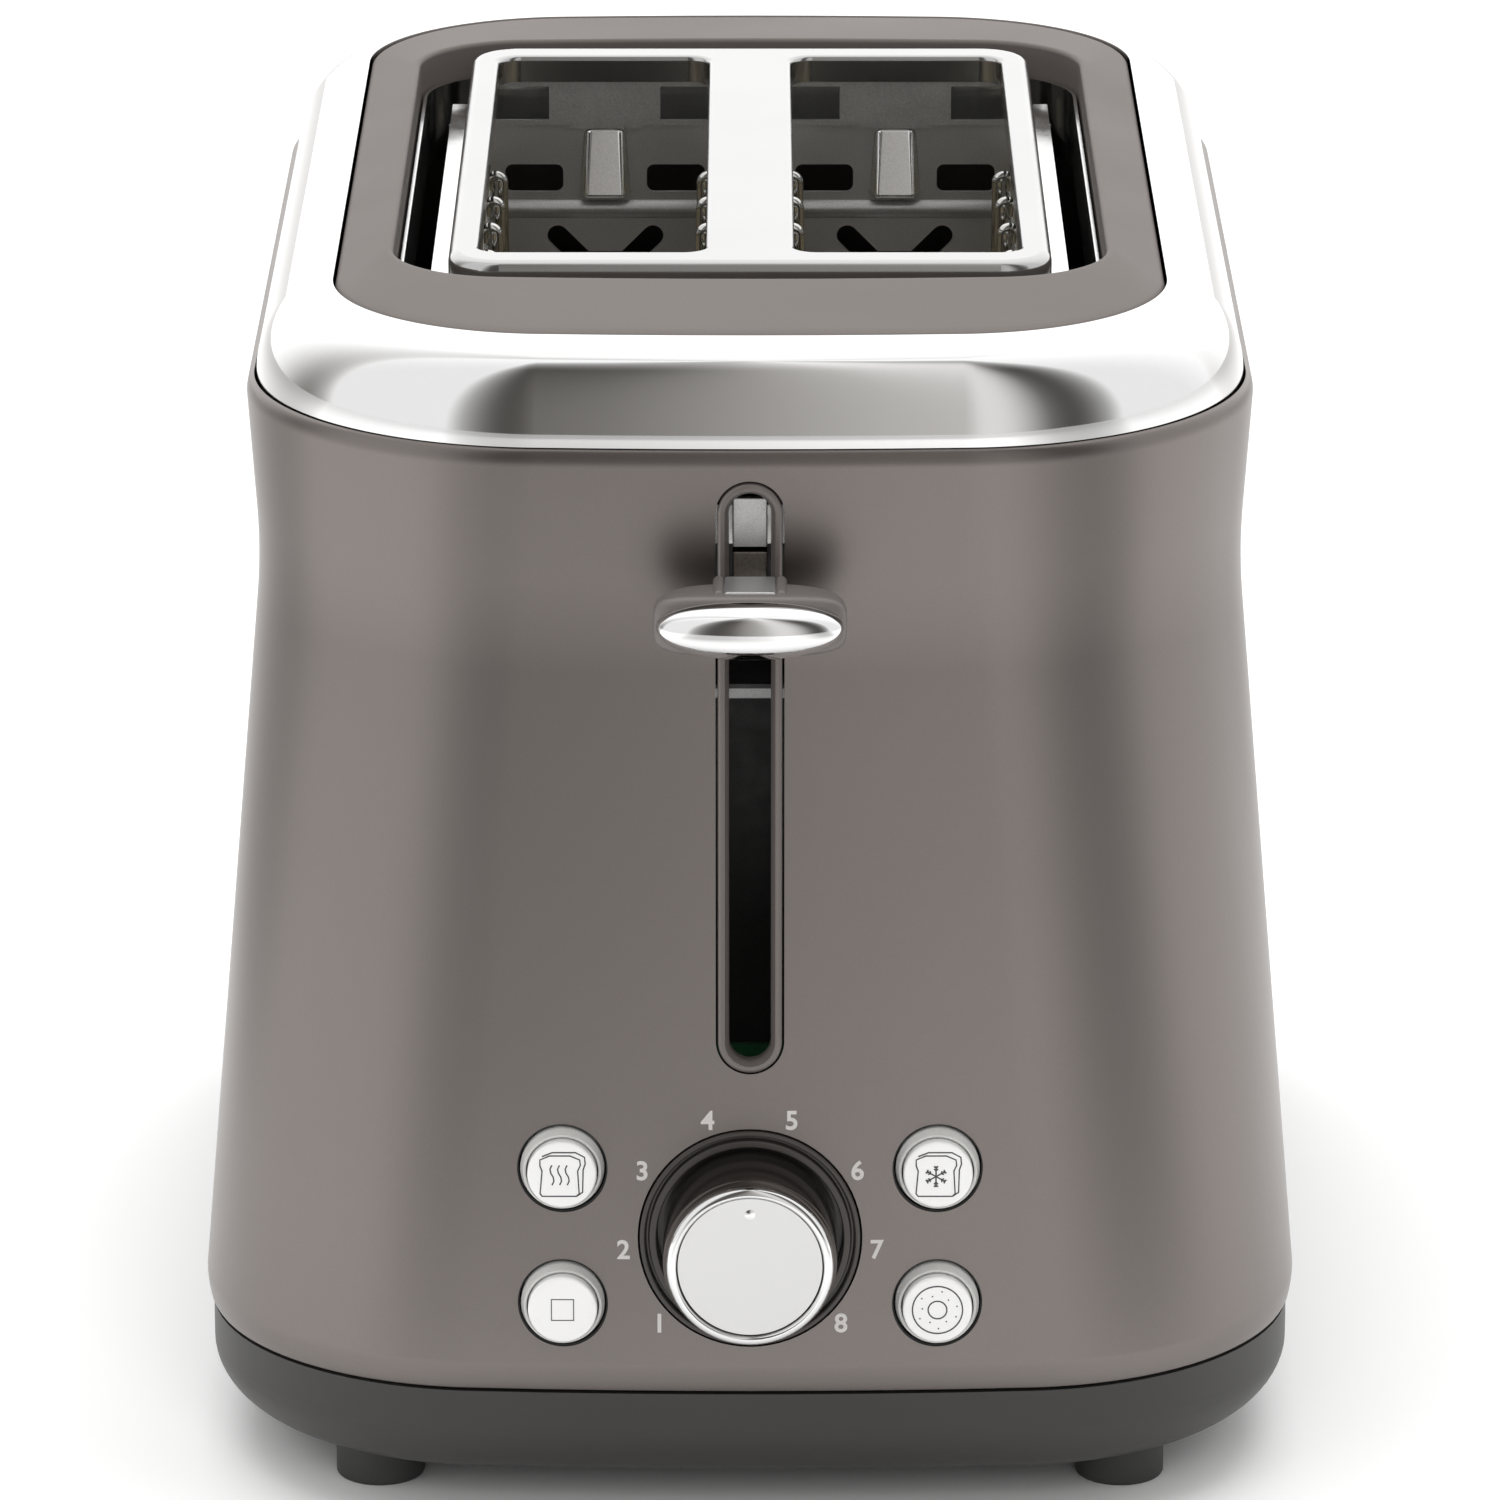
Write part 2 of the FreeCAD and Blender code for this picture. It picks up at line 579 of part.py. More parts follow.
def make_slot_frame():
    top = TOTAL_HEIGHT
    low = top - FRAME_DEPTH
    outer = box(-FRAME_HALF_X, FRAME_HALF_X, -FRAME_HALF_Y, FRAME_HALF_Y, low, top)
    upright = [e for e in outer.Edges if abs(e.Vertexes[0].Z - e.Vertexes[1].Z) > 1]
    outer = outer.makeFillet(FRAME_CORNER, upright)
    rim = [e for e in outer.Edges if e.BoundBox.ZMin > top - 0.01]
    outer = outer.makeFillet(FRAME_ROLL, rim)
    x = FRAME_HALF_X - SHEET
    y = FRAME_HALF_Y - SHEET
    inner = box(-x, x, -y, y, low, top - SHEET)
    upright = [e for e in inner.Edges if abs(e.Vertexes[0].Z - e.Vertexes[1].Z) > 1]
    inner = inner.makeFillet(FRAME_CORNER - SHEET, upright)
    rim = [e for e in inner.Edges if e.BoundBox.ZMin > top - SHEET - 0.01]
    inner = inner.makeFillet(FRAME_ROLL - SHEET / 2, rim)
    frame = outer.cut(inner)
    for side in (-1, 1):
        frame = frame.fuse(slot_block(side, SHEET, top - SLOT_COLLAR, top - SHEET / 2))
    for side in (-1, 1):
        frame = frame.cut(slot_block(side, 0.0, low - 1, top + 1))
    frame = frame.removeSplitter()
    rolled = []
    for edge in frame.Edges:
        b = edge.BoundBox
        inside = abs(b.XMin) < FRAME_HALF_X - 4 and abs(b.YMin) < FRAME_HALF_Y - 4
        if b.ZMin > top - 0.01 and inside and abs(b.YMax) < FRAME_HALF_Y - 4:
            rolled.append(edge)
    frame = frame.makeFillet(SLOT_ROLL, rolled)
    save("slot_frame", frame)


# ---- base tray, feet and screws -----------------------------------------------------------
def base_form(wall, low):
    """The base tray's bowl form, thinner by wall."""
    bottom = low
    rounded = []
    for angle in heights(0, 90, 7):
        a = math.radians(angle)
        across = BASE_INSET + wall + (BASE_ROUND_OUT - wall) * (1 - math.sin(a))
        up = bottom + (BASE_ROUND_UP - wall) * (1 - math.cos(a))
        rounded.append((across, up))
    bowl = loft(rounded)
    wall_block = inset_block(BASE_INSET + wall, bottom + BASE_ROUND_UP - wall, BASE_TOP)
    return bowl.fuse(wall_block)


FLOOR_Z = FOOT_HEIGHT + BASE_WALL
POST_Y = END_BACK + POST_SETBACK
POSTS = [(sx * POST_X, sy * POST_Y) for sx in (-1, 1) for sy in (-1, 1)]
FEET = [(sx * FOOT_SPREAD_X, sy * FOOT_SPREAD_Y) for sx in (-1, 1) for sy in (-1, 1)]
BASE_REAR = HALF_LENGTH - BASE_INSET
GLAND_FACE = BASE_REAR - 0.6
CRUMB_HIGH = CRUMB_LOW + CRUMB_HEIGHT
TERMINAL_X = POST_X + POST_RADIUS + 1.0
TERMINAL_Y = POST_Y + POST_RADIUS + 1.7


def make_base():
    tray = base_form(0.0, FOOT_HEIGHT).cut(base_form(BASE_WALL, FLOOR_Z))
    posts = [rod(POST_RADIUS, (x, y, FLOOR_Z - 1), (x, y, CHASSIS_BOTTOM)) for x, y in POSTS]
    boss = rod(BOSS_RADIUS, (GLAND_X, GLAND_FACE - GLAND_LENGTH + 1, GLAND_Z), (GLAND_X, GLAND_FACE, GLAND_Z))
    rails = []
    rail_x = CRUMB_HALF_WIDTH + CRUMB_CLEARANCE
    for x in (-rail_x - 2, rail_x):
        rails.append(box(x, x + 2, -END_BACK, BASE_REAR - 12, FLOOR_Z - 1, CRUMB_LOW + 4))
    shelf = box(-CRUMB_HALF_WIDTH + 6, -CRUMB_HALF_WIDTH + 9, -END_BACK, BASE_REAR - 12,
                FLOOR_Z - 1, CRUMB_LOW - 0.3)
    rails.extend(both_sides(shelf))
    tray = tray.multiFuse(posts + [boss] + rails)
    for x, y in POSTS:
        tray = tray.cut(rod(POST_BORE, (x, y, FOOT_HEIGHT - 1), (x, y, CHASSIS_BOTTOM + 1)))
        tray = tray.cut(rod(SCREW_HEAD_RADIUS + TRIM_GAP, (x, y, FOOT_HEIGHT - 1),
                            (x, y, FOOT_HEIGHT + SCREW_HEAD)))
    tray = tray.cut(rod(GLAND_RADIUS + 0.05, (GLAND_X, GLAND_FACE - GLAND_LENGTH - 8, GLAND_Z),
                        (GLAND_X, GLAND_FACE + 5, GLAND_Z)))
    mouth_x = CRUMB_HALF_WIDTH + CRUMB_CLEARANCE
    mouth = box(-mouth_x, mouth_x, BASE_REAR - 20, BASE_REAR + 5, CRUMB_LOW - CRUMB_CLEARANCE,
                CRUMB_HIGH + CRUMB_CLEARANCE)
    save("base_tray", tray.cut(mouth))

    feet = []
    for x, y in FEET:
        foot = rod(FOOT_RADIUS, (x, y, 0), (x, y, FOOT_HEIGHT))
        lower = [e for e in foot.Edges if e.BoundBox.ZMax < 0.01]
        feet.append(foot.makeFillet(FOOT_EDGE, lower))
    save("rubber_feet", *feet)

    screws = []
    for x, y in POSTS:
        head = rod(SCREW_HEAD_RADIUS, (x, y, FOOT_HEIGHT + 0.2), (x, y, FOOT_HEIGHT + SCREW_HEAD))
        shank = rod(SCREW_RADIUS, (x, y, FOOT_HEIGHT + SCREW_HEAD - 0.5),
                    (x, y, CHASSIS_BOTTOM + SHEET + 2))
        recess = box(x - 2, x + 2, y - 0.35, y + 0.35, FOOT_HEIGHT, FOOT_HEIGHT + 1)
        cross = box(x - 0.35, x + 0.35, y - 2, y + 2, FOOT_HEIGHT, FOOT_HEIGHT + 1)
        screws.append(head.fuse(shank).cut(recess).cut(cross))
    save("base_screws", *screws)


# ---- chassis --------------------------------------------------------------------------------
def boat_cut(x):
    """The boat-shaped cut under the bead, at one slot's centre."""
    half = BOAT_STROKE / 2
    deck = TOTAL_HEIGHT - BOAT_DROP
    keel = deck - (BOAT_HALF_WIDTH - BOAT_FLOOR_HALF)
    span = (END_FACE - 5, END_BACK + 5)
    shapes = []
    for side in (-1, 1):
        tip = (x + side * (BOAT_HALF_WIDTH - half), deck)
        foot = (x + side * (BOAT_FLOOR_HALF - half), keel)
        run = Vector(foot[0] - tip[0], 0, foot[1] - tip[1])
        across = Vector(-run.z, 0, run.x).normalize() * half
        corners = []
        for sign, end in ((1, tip), (1, foot), (-1, foot), (-1, tip)):
            corners.append((end[0] + sign * across.x, span[0], end[1] + sign * across.z))
        shapes.append(polygon_prism(corners, (0, span[1] - span[0], 0)))
        for end in (tip, foot):
            shapes.append(rod(half, (end[0], span[0], end[1]), (end[0], span[1], end[1])))
    inner = BOAT_FLOOR_HALF - half
    shapes.append(box(x - inner, x + inner, span[0], span[1], keel - half, keel + half))
    return joined(shapes)


def ramp(x):
    """The pressed ramp that centres a slice, at one slot's centre on the rear plate."""
    top = TOTAL_HEIGHT - RAMP_TOP_DROP
    low = TOTAL_HEIGHT - RAMP_BOTTOM_DROP
    face = END_FACE + 0.2

    def profile(z, half_width, reach):
        points = [(x - half_width, face, z), (x + half_width, face, z),
                  (x + half_width * RAMP_TAPER, face - reach, z),
                  (x - half_width * RAMP_TAPER, face - reach, z)]
        return Part.makePolygon([Vector(*p) for p in points + points[:1]])

    wires = [profile(low, RAMP_BOTTOM_WIDTH / 2, RAMP_REACH)]
    wires.append(profile((top + low) / 2, (RAMP_TOP_WIDTH + RAMP_BOTTOM_WIDTH) / 4, RAMP_REACH * 0.62))
    wires.append(profile(top, RAMP_TOP_WIDTH / 2, 0.5))
    return Part.makeLoft(wires, True, True)


RACK_SLOT_LOW = RACK_TOP - RACK_STRIP - LEVER_DOWN - 1.5
RACK_SLOT_HIGH = RACK_TOP + LEVER_UP + 1.5
GUIDE_X = {"outer": SLOT_X + SLOT_WIDTH / 2 - GUIDE_EDGE_IN,
           "inner": SLOT_X - SLOT_WIDTH / 2 + GUIDE_EDGE_IN + 0.5}


def make_end_plates():
    flange_half = POST_X + POST_RADIUS
    x = CHASSIS_HALF_WIDTH
    plate = box(-x, x, END_FACE, END_BACK, CHASSIS_BOTTOM, CHASSIS_TOP)
    flange = box(-flange_half, flange_half, END_FACE, POST_Y + POST_RADIUS, CHASSIS_BOTTOM,
                 CHASSIS_BOTTOM + SHEET)
    bead = rod(BEAD_RADIUS, (-x + BEAD_END, END_FACE + BEAD_IN, TOTAL_HEIGHT - BEAD_DROP),
               (x - BEAD_END, END_FACE + BEAD_IN, TOTAL_HEIGHT - BEAD_DROP))
    bead = bead.common(box(-x, x, END_FACE - 5, END_BACK, 0, TOTAL_HEIGHT))
    ramps = [ramp(SLOT_X), ramp(-SLOT_X)]
    plate = joined([plate, flange, bead] + ramps)
    cuts = []
    for side in (-1, 1):
        centre = side * SLOT_X
        cuts.append(boat_cut(centre))
        for way in (-1, 1):
            x0 = centre + way * VENT_OFFSET
            x1 = x0 + way * VENT_LENGTH
            vent = box(min(x0, x1), max(x0, x1), END_FACE - 6, END_BACK + 5,
                       TOTAL_HEIGHT - VENT_BOTTOM_DROP, TOTAL_HEIGHT - VENT_TOP_DROP)
            along = [e for e in vent.Edges if abs(e.Vertexes[0].Y - e.Vertexes[1].Y) > 1]
            cuts.append(vent.makeFillet(VENT_CORNER, along))
        cuts.append(box(centre - SHEET / 2 - RACK_SLOT_CLEARANCE, centre + SHEET / 2 + RACK_SLOT_CLEARANCE,
                        END_FACE - 5, END_BACK + 5, RACK_SLOT_LOW, RACK_SLOT_HIGH))
        for place in GUIDE_X.values():
            cuts.append(rod(GUIDE_PIVOT_RADIUS + PIVOT_CLEARANCE, (side * place, END_FACE - 5, GUIDE_PIVOT_Z),
                            (side * place, END_BACK + 5, GUIDE_PIVOT_Z)))
    for px, py in POSTS:
        if py > 0:
            cuts.append(rod(SCREW_RADIUS + 0.1, (px, py, CHASSIS_BOTTOM - 1), (px, py, CHASSIS_BOTTOM + 3)))
    for cut in cuts:
        plate = plate.cut(cut)
    save("rear_end_plate", plate)
    save("front_end_plate", plate.mirror(Vector(0, 0, 0), Vector(0, 1, 0)))


def make_side_plates():
    outer = CHASSIS_HALF_WIDTH - SIDE_PLATE_INSET
    inner = outer - SHEET
    y = END_FACE - 0.2
    top = TOTAL_HEIGHT - SIDE_TOP_DROP
    wall = box(inner, outer, -y, y, CHASSIS_BOTTOM + 18, top)
    fold = box(outer - SIDE_FLANGE, outer, -y, y, top - SHEET, top)
    hem = box(outer - SIDE_FLANGE, outer - SIDE_FLANGE + SHEET, -y, y, top - 3.0, top)
    right = joined([wall, fold, hem])
    rib = box(outer - 0.2, outer + 0.5, -y + SIDE_RIB_IN, y - SIDE_RIB_IN, SIDE_RIB_LOW, SIDE_RIB_HIGH)
    right = joined([right, rib])
    left = right.mirror(Vector(0, 0, 0), Vector(1, 0, 0))
    save("side_plate_right", right)
    save("side_plate_left", left)


def make_hangers():
    """Sheet legs under the slot frame's ends that stand on the chassis."""
    low = TOTAL_HEIGHT - RAMP_TOP_DROP + 0.15
    high = TOTAL_HEIGHT - SHEET - 0.1
    half = SLOT_X + SLOT_WIDTH / 2 + 2
    y0 = END_FACE - SHEET - 0.1
    y1 = END_FACE - 0.1
    leg = box(-half, half, y0, y1, TOTAL_HEIGHT - HANGER_WINDOW_LOW, high)
    tongues = [box(s * SLOT_X - HANGER_TONGUE, s * SLOT_X + HANGER_TONGUE, y0, y1, low, high)
               for s in (-1, 1)]
    leg = joined([leg] + tongues)
    fold_deep = FRAME_HALF_Y - SHEET - FRAME_ROLL - y0
    for side in (-1, 1):
        for way in (-1, 1):
            x0 = side * SLOT_X + way * HANGER_WINDOW_OFFSET
            x1 = side * SLOT_X + way * (SLOT_WIDTH / 2 + 1.0)
            window = box(min(x0, x1), max(x0, x1), y0 - 1, y1 + 1,
                         TOTAL_HEIGHT - HANGER_WINDOW_LOW + 1.0, TOTAL_HEIGHT - HANGER_WINDOW_HIGH)
            leg = leg.cut(window)
    fold_half = FRAME_HALF_X - FRAME_CORNER
    fold = box(-fold_half, fold_half, y0, y0 + fold_deep, high - SHEET, high)
    leg = joined([leg, fold])
    for side in (-1, 1):
        leg = leg.cut(slot_block(side, SHEET + 0.1, TOTAL_HEIGHT - SLOT_COLLAR - 0.1, TOTAL_HEIGHT))
    save("frame_hangers", leg, leg.mirror(Vector(0, 0, 0), Vector(0, 1, 0)))


def make_liner():
    """Polished liner that closes the well between ring and chassis."""
    out_x = RING_OPEN_X - LINER_GAP
    out_y = RING_OPEN_Y - LINER_GAP
    corner = RING_OPENING_CORNER - LINER_GAP
    high = RING_EDGE_Z - RING_SKIRT + LINER_OVERLAP
    low = high - LINER_DEPTH
    outer = block(out_x, out_y, corner, low, high)
    inner = block(out_x - LINER_WALL, out_y - LINER_WALL, corner - LINER_WALL, low - 1, high + 1)
    save("slot_well_liner", outer.cut(inner))


# ---- heaters ----------------------------------------------------------------------------------
def make_heaters():
    """Mica boards and their ribbon windings: an outer and a centre pair."""
    y = END_FACE - MICA_END_GAP
    top = TOTAL_HEIGHT - MICA_TOP_DROP
    rows = heights(MICA_BOTTOM + 8, top - 8, RIBBON_ROWS)
    for x, place, facing in ((OUTER_MICA_X, "outer", -1), (CENTRE_MICA_X, "centre", 1)):
        board = box(x, x + MICA, -y, y, MICA_BOTTOM, top)
        notches = []
        for row in rows:
            for end in (-y, y - NOTCH_DEPTH):
                notches.append(box(x - 1, x + MICA + 1, end, end + NOTCH_DEPTH,
                                   row - NOTCH_HALF, row + NOTCH_HALF))
        board = board.cut(Part.makeCompound(notches))
        face = x - RIBBON if facing < 0 else x + MICA
        strips = []
        for row in rows:
            strips.append(box(face, face + RIBBON, -y + 2.5, y - 2.5, row - RIBBON_WIDTH / 2,
                              row + RIBBON_WIDTH / 2))
        for i in range(len(rows) - 1):
            at = y - 2 * RIBBON_TURN if i % 2 else -y + RIBBON_TURN
            strips.append(box(face, face + RIBBON, at, at + RIBBON_TURN, rows[i], rows[i + 1]))
        save("mica_boards_" + place, *both_sides(board))
        save("heating_ribbons_" + place, *both_sides(joined(strips)))


# ---- bread guides -------------------------------------------------------------------------------
def guide(x, away):
    """One wire guide. x is its wires' centre, away is +1 or -1, the side its hooks turn to."""
    top = TOTAL_HEIGHT - GUIDE_TOP_DROP - GUIDE_WIRE
    half_turn = GUIDE_HOOK / 2
    straight_top = top - half_turn
    rail_x = x + away * GUIDE_HOOK
    span = SLOT_LENGTH / 2 - GUIDE_END_IN
    wires = []
    for y in heights(-span, span, GUIDE_COUNT):
        start = Vector(x, y, GUIDE_PIVOT_Z)
        bend = Vector(x, y, straight_top)
        crest = Vector(x + away * half_turn, y, top)
        down = Vector(rail_x, y, straight_top)
        tail = Vector(rail_x, y, straight_top - 4.0)
        path = Part.Wire([Part.LineSegment(start, bend).toShape(),
                          Part.Arc(bend, crest, down).toShape(),
                          Part.LineSegment(down, tail).toShape()])
        circle = Part.Wire(Part.makeCircle(GUIDE_WIRE, start, Vector(0, 0, 1)))
        wires.append(path.makePipeShell([circle], True, False))
    rail_z = straight_top - 2.4
    rails = [rod(GUIDE_WIRE, (rail_x, -span - 6, rail_z), (rail_x, span + 6, rail_z))]
    pivot_reach = END_BACK + 1.6
    rails.append(rod(GUIDE_PIVOT_RADIUS, (x, -pivot_reach, GUIDE_PIVOT_Z), (x, pivot_reach, GUIDE_PIVOT_Z)))
    for z in GUIDE_RAIL_HEIGHTS:
        rail = x + away * GUIDE_RAIL_OUT
        rails.append(rod(GUIDE_WIRE, (rail, -span - 6, z), (rail, span + 6, z)))
    whole = wires[0].multiFuse(wires[1:] + rails)
    return whole


def make_guides():
    for side, word in ((-1, "left"), (1, "right")):
        save("bread_guide_" + word + "_outer", guide(side * GUIDE_X["outer"], side))
        save("bread_guide_" + word + "_inner", guide(side * GUIDE_X["inner"], -side))


# ---- carriage, lever and springs ------------------------------------------------------------------
BUSH_TOP = BUSH_BOTTOM + BUSH_LENGTH
HANDLE_LOWEST = LEVER_Z - LEVER_DOWN - HANDLE_HEIGHT / 2
HANDLE_BACK = skin_y(HANDLE_LOWEST) - TRIM_PROUD - HANDLE_STANDOFF


def make_carriage():
    front = CARRIAGE_Y - SHEET
    arm_low = LEVER_Z - ARM_HEIGHT / 2
    arm_high = LEVER_Z + ARM_HEIGHT / 2
    plate = box(-CARRIAGE_HALF_WIDTH, CARRIAGE_HALF_WIDTH, front, CARRIAGE_Y, BUSH_BOTTOM, BUSH_TOP)
    tower = box(-9, 9, front, CARRIAGE_Y, BUSH_BOTTOM, arm_high)
    lugs = []
    for x in (-ROD_X, ROD_X):
        lugs.append(box(x - 7, x + 7, ROD_Y - 7, CARRIAGE_Y, BUSH_TOP - SHEET, BUSH_TOP))
        lugs.append(box(x - 7, x + 7, ROD_Y - 7, CARRIAGE_Y, BUSH_BOTTOM, BUSH_BOTTOM + SHEET))
    shelf = box(-ARMATURE_HALF, ARMATURE_HALF, ROD_Y - 8, CARRIAGE_Y, BUSH_BOTTOM + ARMATURE_THICK + 4,
                BUSH_BOTTOM + ARMATURE_THICK + 4 + SHEET)
    whole = joined([plate, tower, shelf] + lugs)
    for x in (-ROD_X, ROD_X):
        whole = whole.cut(rod(BUSH_RADIUS, (x, ROD_Y, BUSH_BOTTOM - 1), (x, ROD_Y, BUSH_TOP + 1)))
    for side in (-1, 1):
        x = side * SLOT_X
        whole = whole.cut(box(x - SHEET / 2 - 0.05, x + SHEET / 2 + 0.05, front - 1, CARRIAGE_Y + 1,
                              RACK_TOP - RACK_STRIP - 0.1, RACK_TOP + 0.1))
    save("carriage_plate", whole)

    bushes = [tube(BUSH_RADIUS - 0.02, ROD_RADIUS + ROD_CLEARANCE, (x, ROD_Y, BUSH_BOTTOM),
                   (x, ROD_Y, BUSH_TOP)) for x in (-ROD_X, ROD_X)]
    save("carriage_bushes", *bushes)

    top = BUSH_BOTTOM + ARMATURE_THICK + 4 - 0.02
    save("latch_armature", box(-ARMATURE_HALF, ARMATURE_HALF, ROD_Y - 7, CARRIAGE_Y - SHEET - 0.3,
                               top - ARMATURE_THICK, top))

    arm = box(-ARM_WIDTH / 2, ARM_WIDTH / 2, HANDLE_BACK, front - 0.02, arm_low, arm_high)
    neck = box(-ARM_NECK_WIDTH / 2, ARM_NECK_WIDTH / 2, HANDLE_BACK - NECK_DEPTH, HANDLE_BACK, arm_low,
               arm_high)
    foot = box(-7, 7, front - SHEET - 0.02, front - 0.02, arm_low, arm_high)
    save("lever_arm", joined([arm, neck, foot]))


def make_handle():
    """The handle's bean-shaped body and the crescent cap on its front."""
    back = HANDLE_BACK
    front = back - HANDLE_REACH
    cap_back = front + CAP_DEPTH
    z0 = LEVER_Z - HANDLE_HEIGHT / 2
    wide = cap_back + HANDLE_SHOULDER
    half_corner = (HANDLE_HALF_WIDTH + HANDLE_REAR_HALF) / 2 + 1.1
    nose_half = CAP_HALF_WIDTH + 0.4
    nose_y = cap_back + CAP_BOW
    bulge = (wide + back) / 2 + HANDLE_BULGE
    outline = [Part.LineSegment(Vector(-HANDLE_REAR_HALF, back, z0), Vector(HANDLE_REAR_HALF, back, z0)),
               Part.Arc(Vector(HANDLE_REAR_HALF, back, z0), Vector(half_corner, bulge, z0),
                        Vector(HANDLE_HALF_WIDTH, wide, z0)),
               Part.LineSegment(Vector(HANDLE_HALF_WIDTH, wide, z0), Vector(nose_half, nose_y, z0)),
               Part.Arc(Vector(nose_half, nose_y, z0), Vector(0, cap_back, z0),
                        Vector(-nose_half, nose_y, z0)),
               Part.LineSegment(Vector(-nose_half, nose_y, z0), Vector(-HANDLE_HALF_WIDTH, wide, z0)),
               Part.Arc(Vector(-HANDLE_HALF_WIDTH, wide, z0), Vector(-half_corner, bulge, z0),
                        Vector(-HANDLE_REAR_HALF, back, z0))]
    wire = Part.Wire([piece.toShape() for piece in outline])
    body = Part.Face(wire).extrude(Vector(0, 0, HANDLE_HEIGHT))
    rims = [e for e in body.Edges if e.BoundBox.ZLength < 0.01 and e.BoundBox.YMax > nose_y + 0.5]
    body = body.makeFillet(HANDLE_ROUND, rims)
    half_neck = ARM_NECK_WIDTH / 2 + 0.02
    half_arm = ARM_HEIGHT / 2 + 0.02
    body = body.cut(box(-half_neck, half_neck, back - NECK_DEPTH - 0.05, back + 3, LEVER_Z - half_arm,
                        LEVER_Z + half_arm))
    save("lever_handle", body)

    c0 = LEVER_Z - CAP_HEIGHT / 2
    left = Vector(-CAP_HALF_WIDTH, nose_y - 0.1, c0)
    right = Vector(CAP_HALF_WIDTH, nose_y - 0.1, c0)
    front_arc = Part.Arc(left, Vector(0, front, c0), right).toShape()
    back_arc = Part.Arc(right, Vector(0, cap_back - 0.05, c0), left).toShape()
    cap = Part.Face(Part.Wire([front_arc, back_arc])).extrude(Vector(0, 0, CAP_HEIGHT))
    rims = [e for e in cap.Edges if e.BoundBox.ZLength < 0.01 and e.BoundBox.YMin < front + 0.5]
    save("handle_cap", cap.makeFillet(CAP_ROUND, rims))


def make_racks():
    """Bread racks: a strip along each slot with cross fingers, hung on the carriage plate."""
    reach = END_BACK + 3.0
    for side, word in ((-1, "left"), (1, "right")):
        x = side * SLOT_X
        strip = box(x - SHEET / 2, x + SHEET / 2, CARRIAGE_Y - SHEET - 1.5, reach,
                    RACK_TOP - RACK_STRIP, RACK_TOP)
        tail_relief = box(x - 1, x + 1, END_FACE - 1.5, reach + 1, RACK_TOP - RACK_STRIP - 1,
                          RACK_TOP - RACK_STRIP + 2)
        strip = strip.cut(tail_relief)
        span = END_FACE - FINGER_IN
        fingers = []
        for y in heights(-span, span, RACK_FINGERS):
            fingers.append(rod(FINGER_RADIUS, (x - RACK_HALF_WIDTH, y, RACK_TOP - FINGER_DROP),
                               (x + RACK_HALF_WIDTH, y, RACK_TOP - FINGER_DROP)))
        save("bread_rack_" + word, strip.multiFuse(fingers))


def make_rods_and_springs():
    base = BRACKET_LOW + SHEET
    rods = [rod(ROD_RADIUS, (x, ROD_Y, BRACKET_LOW - 2), (x, ROD_Y, BRACKET_TOP + 2))
            for x in (-ROD_X, ROD_X)]
    save("guide_rods", *rods)

    y0 = -(END_BACK + BRACKET_DEPTH)
    y1 = -END_BACK - 0.05
    brackets = []
    for z, down in ((BRACKET_LOW, BRACKET_LIP_LOW), (BRACKET_TOP, BRACKET_LIP_TOP)):
        shelf = box(-BRACKET_HALF_WIDTH, BRACKET_HALF_WIDTH, y0, y1, z, z + SHEET)
        lip = box(-BRACKET_HALF_WIDTH, BRACKET_HALF_WIDTH, y1 - SHEET, y1, z - down, z + SHEET)
        bracket = joined([shelf, lip])
        for x in (-ROD_X, ROD_X):
            bracket = bracket.cut(rod(ROD_RADIUS + 0.01, (x, ROD_Y, z - 1), (x, ROD_Y, z + 2)))
        brackets.append(bracket)
    save("rod_brackets", *brackets)

    length = BUSH_BOTTOM - base - 2 * SPRING_WIRE - 0.4
    pitch = length / SPRING_TURNS
    coils = []
    for x in (-ROD_X, ROD_X):
        helix = Part.makeHelix(pitch, length, SPRING_RADIUS)
        circle = Part.Wire(Part.makeCircle(SPRING_WIRE, Vector(SPRING_RADIUS, 0, 0), Vector(0, 1, 0)))
        coil = Part.Wire(helix).makePipeShell([circle], True, True)
        coil.translate(Vector(x, ROD_Y, base + SPRING_WIRE + 0.2))
        coils.append(coil)
    save("lift_springs", *coils)


def make_magnet():
    base = BRACKET_LOW + SHEET + 0.02
    armature_low = BUSH_BOTTOM + 4 - 0.02
    top = armature_low - LEVER_DOWN - MAGNET_GAP
    core = rod(CORE_RADIUS, (0, ROD_Y, base), (0, ROD_Y, top))
    yoke = box(-ARMATURE_HALF + 1, ARMATURE_HALF - 1, ROD_Y + 8.6, ROD_Y + 10.2, base, top)
    foot = box(-ARMATURE_HALF + 1, ARMATURE_HALF - 1, ROD_Y - 6, ROD_Y + 10.2, base, base + 1.6)
    save("magnet_core", joined([core, yoke, foot]))
    coil = tube(COIL_RADIUS, CORE_RADIUS + 0.2, (0, ROD_Y, base + 2.0), (0, ROD_Y, top - 1.0))
    save("magnet_coil", coil)


# ---- controls ------------------------------------------------------------------------------------
KNOB_FACE = SKIN_AT_KNOB - KNOB_PROUD
CARRIER_Y = SKIN_AT_KNOB + CARRIER_DEPTH
BOARD_Y = SKIN_AT_KNOB + BOARD_DEPTH
BUTTON_WELL_RADIUS = BUTTON_HOLE_RADIUS - 0.05


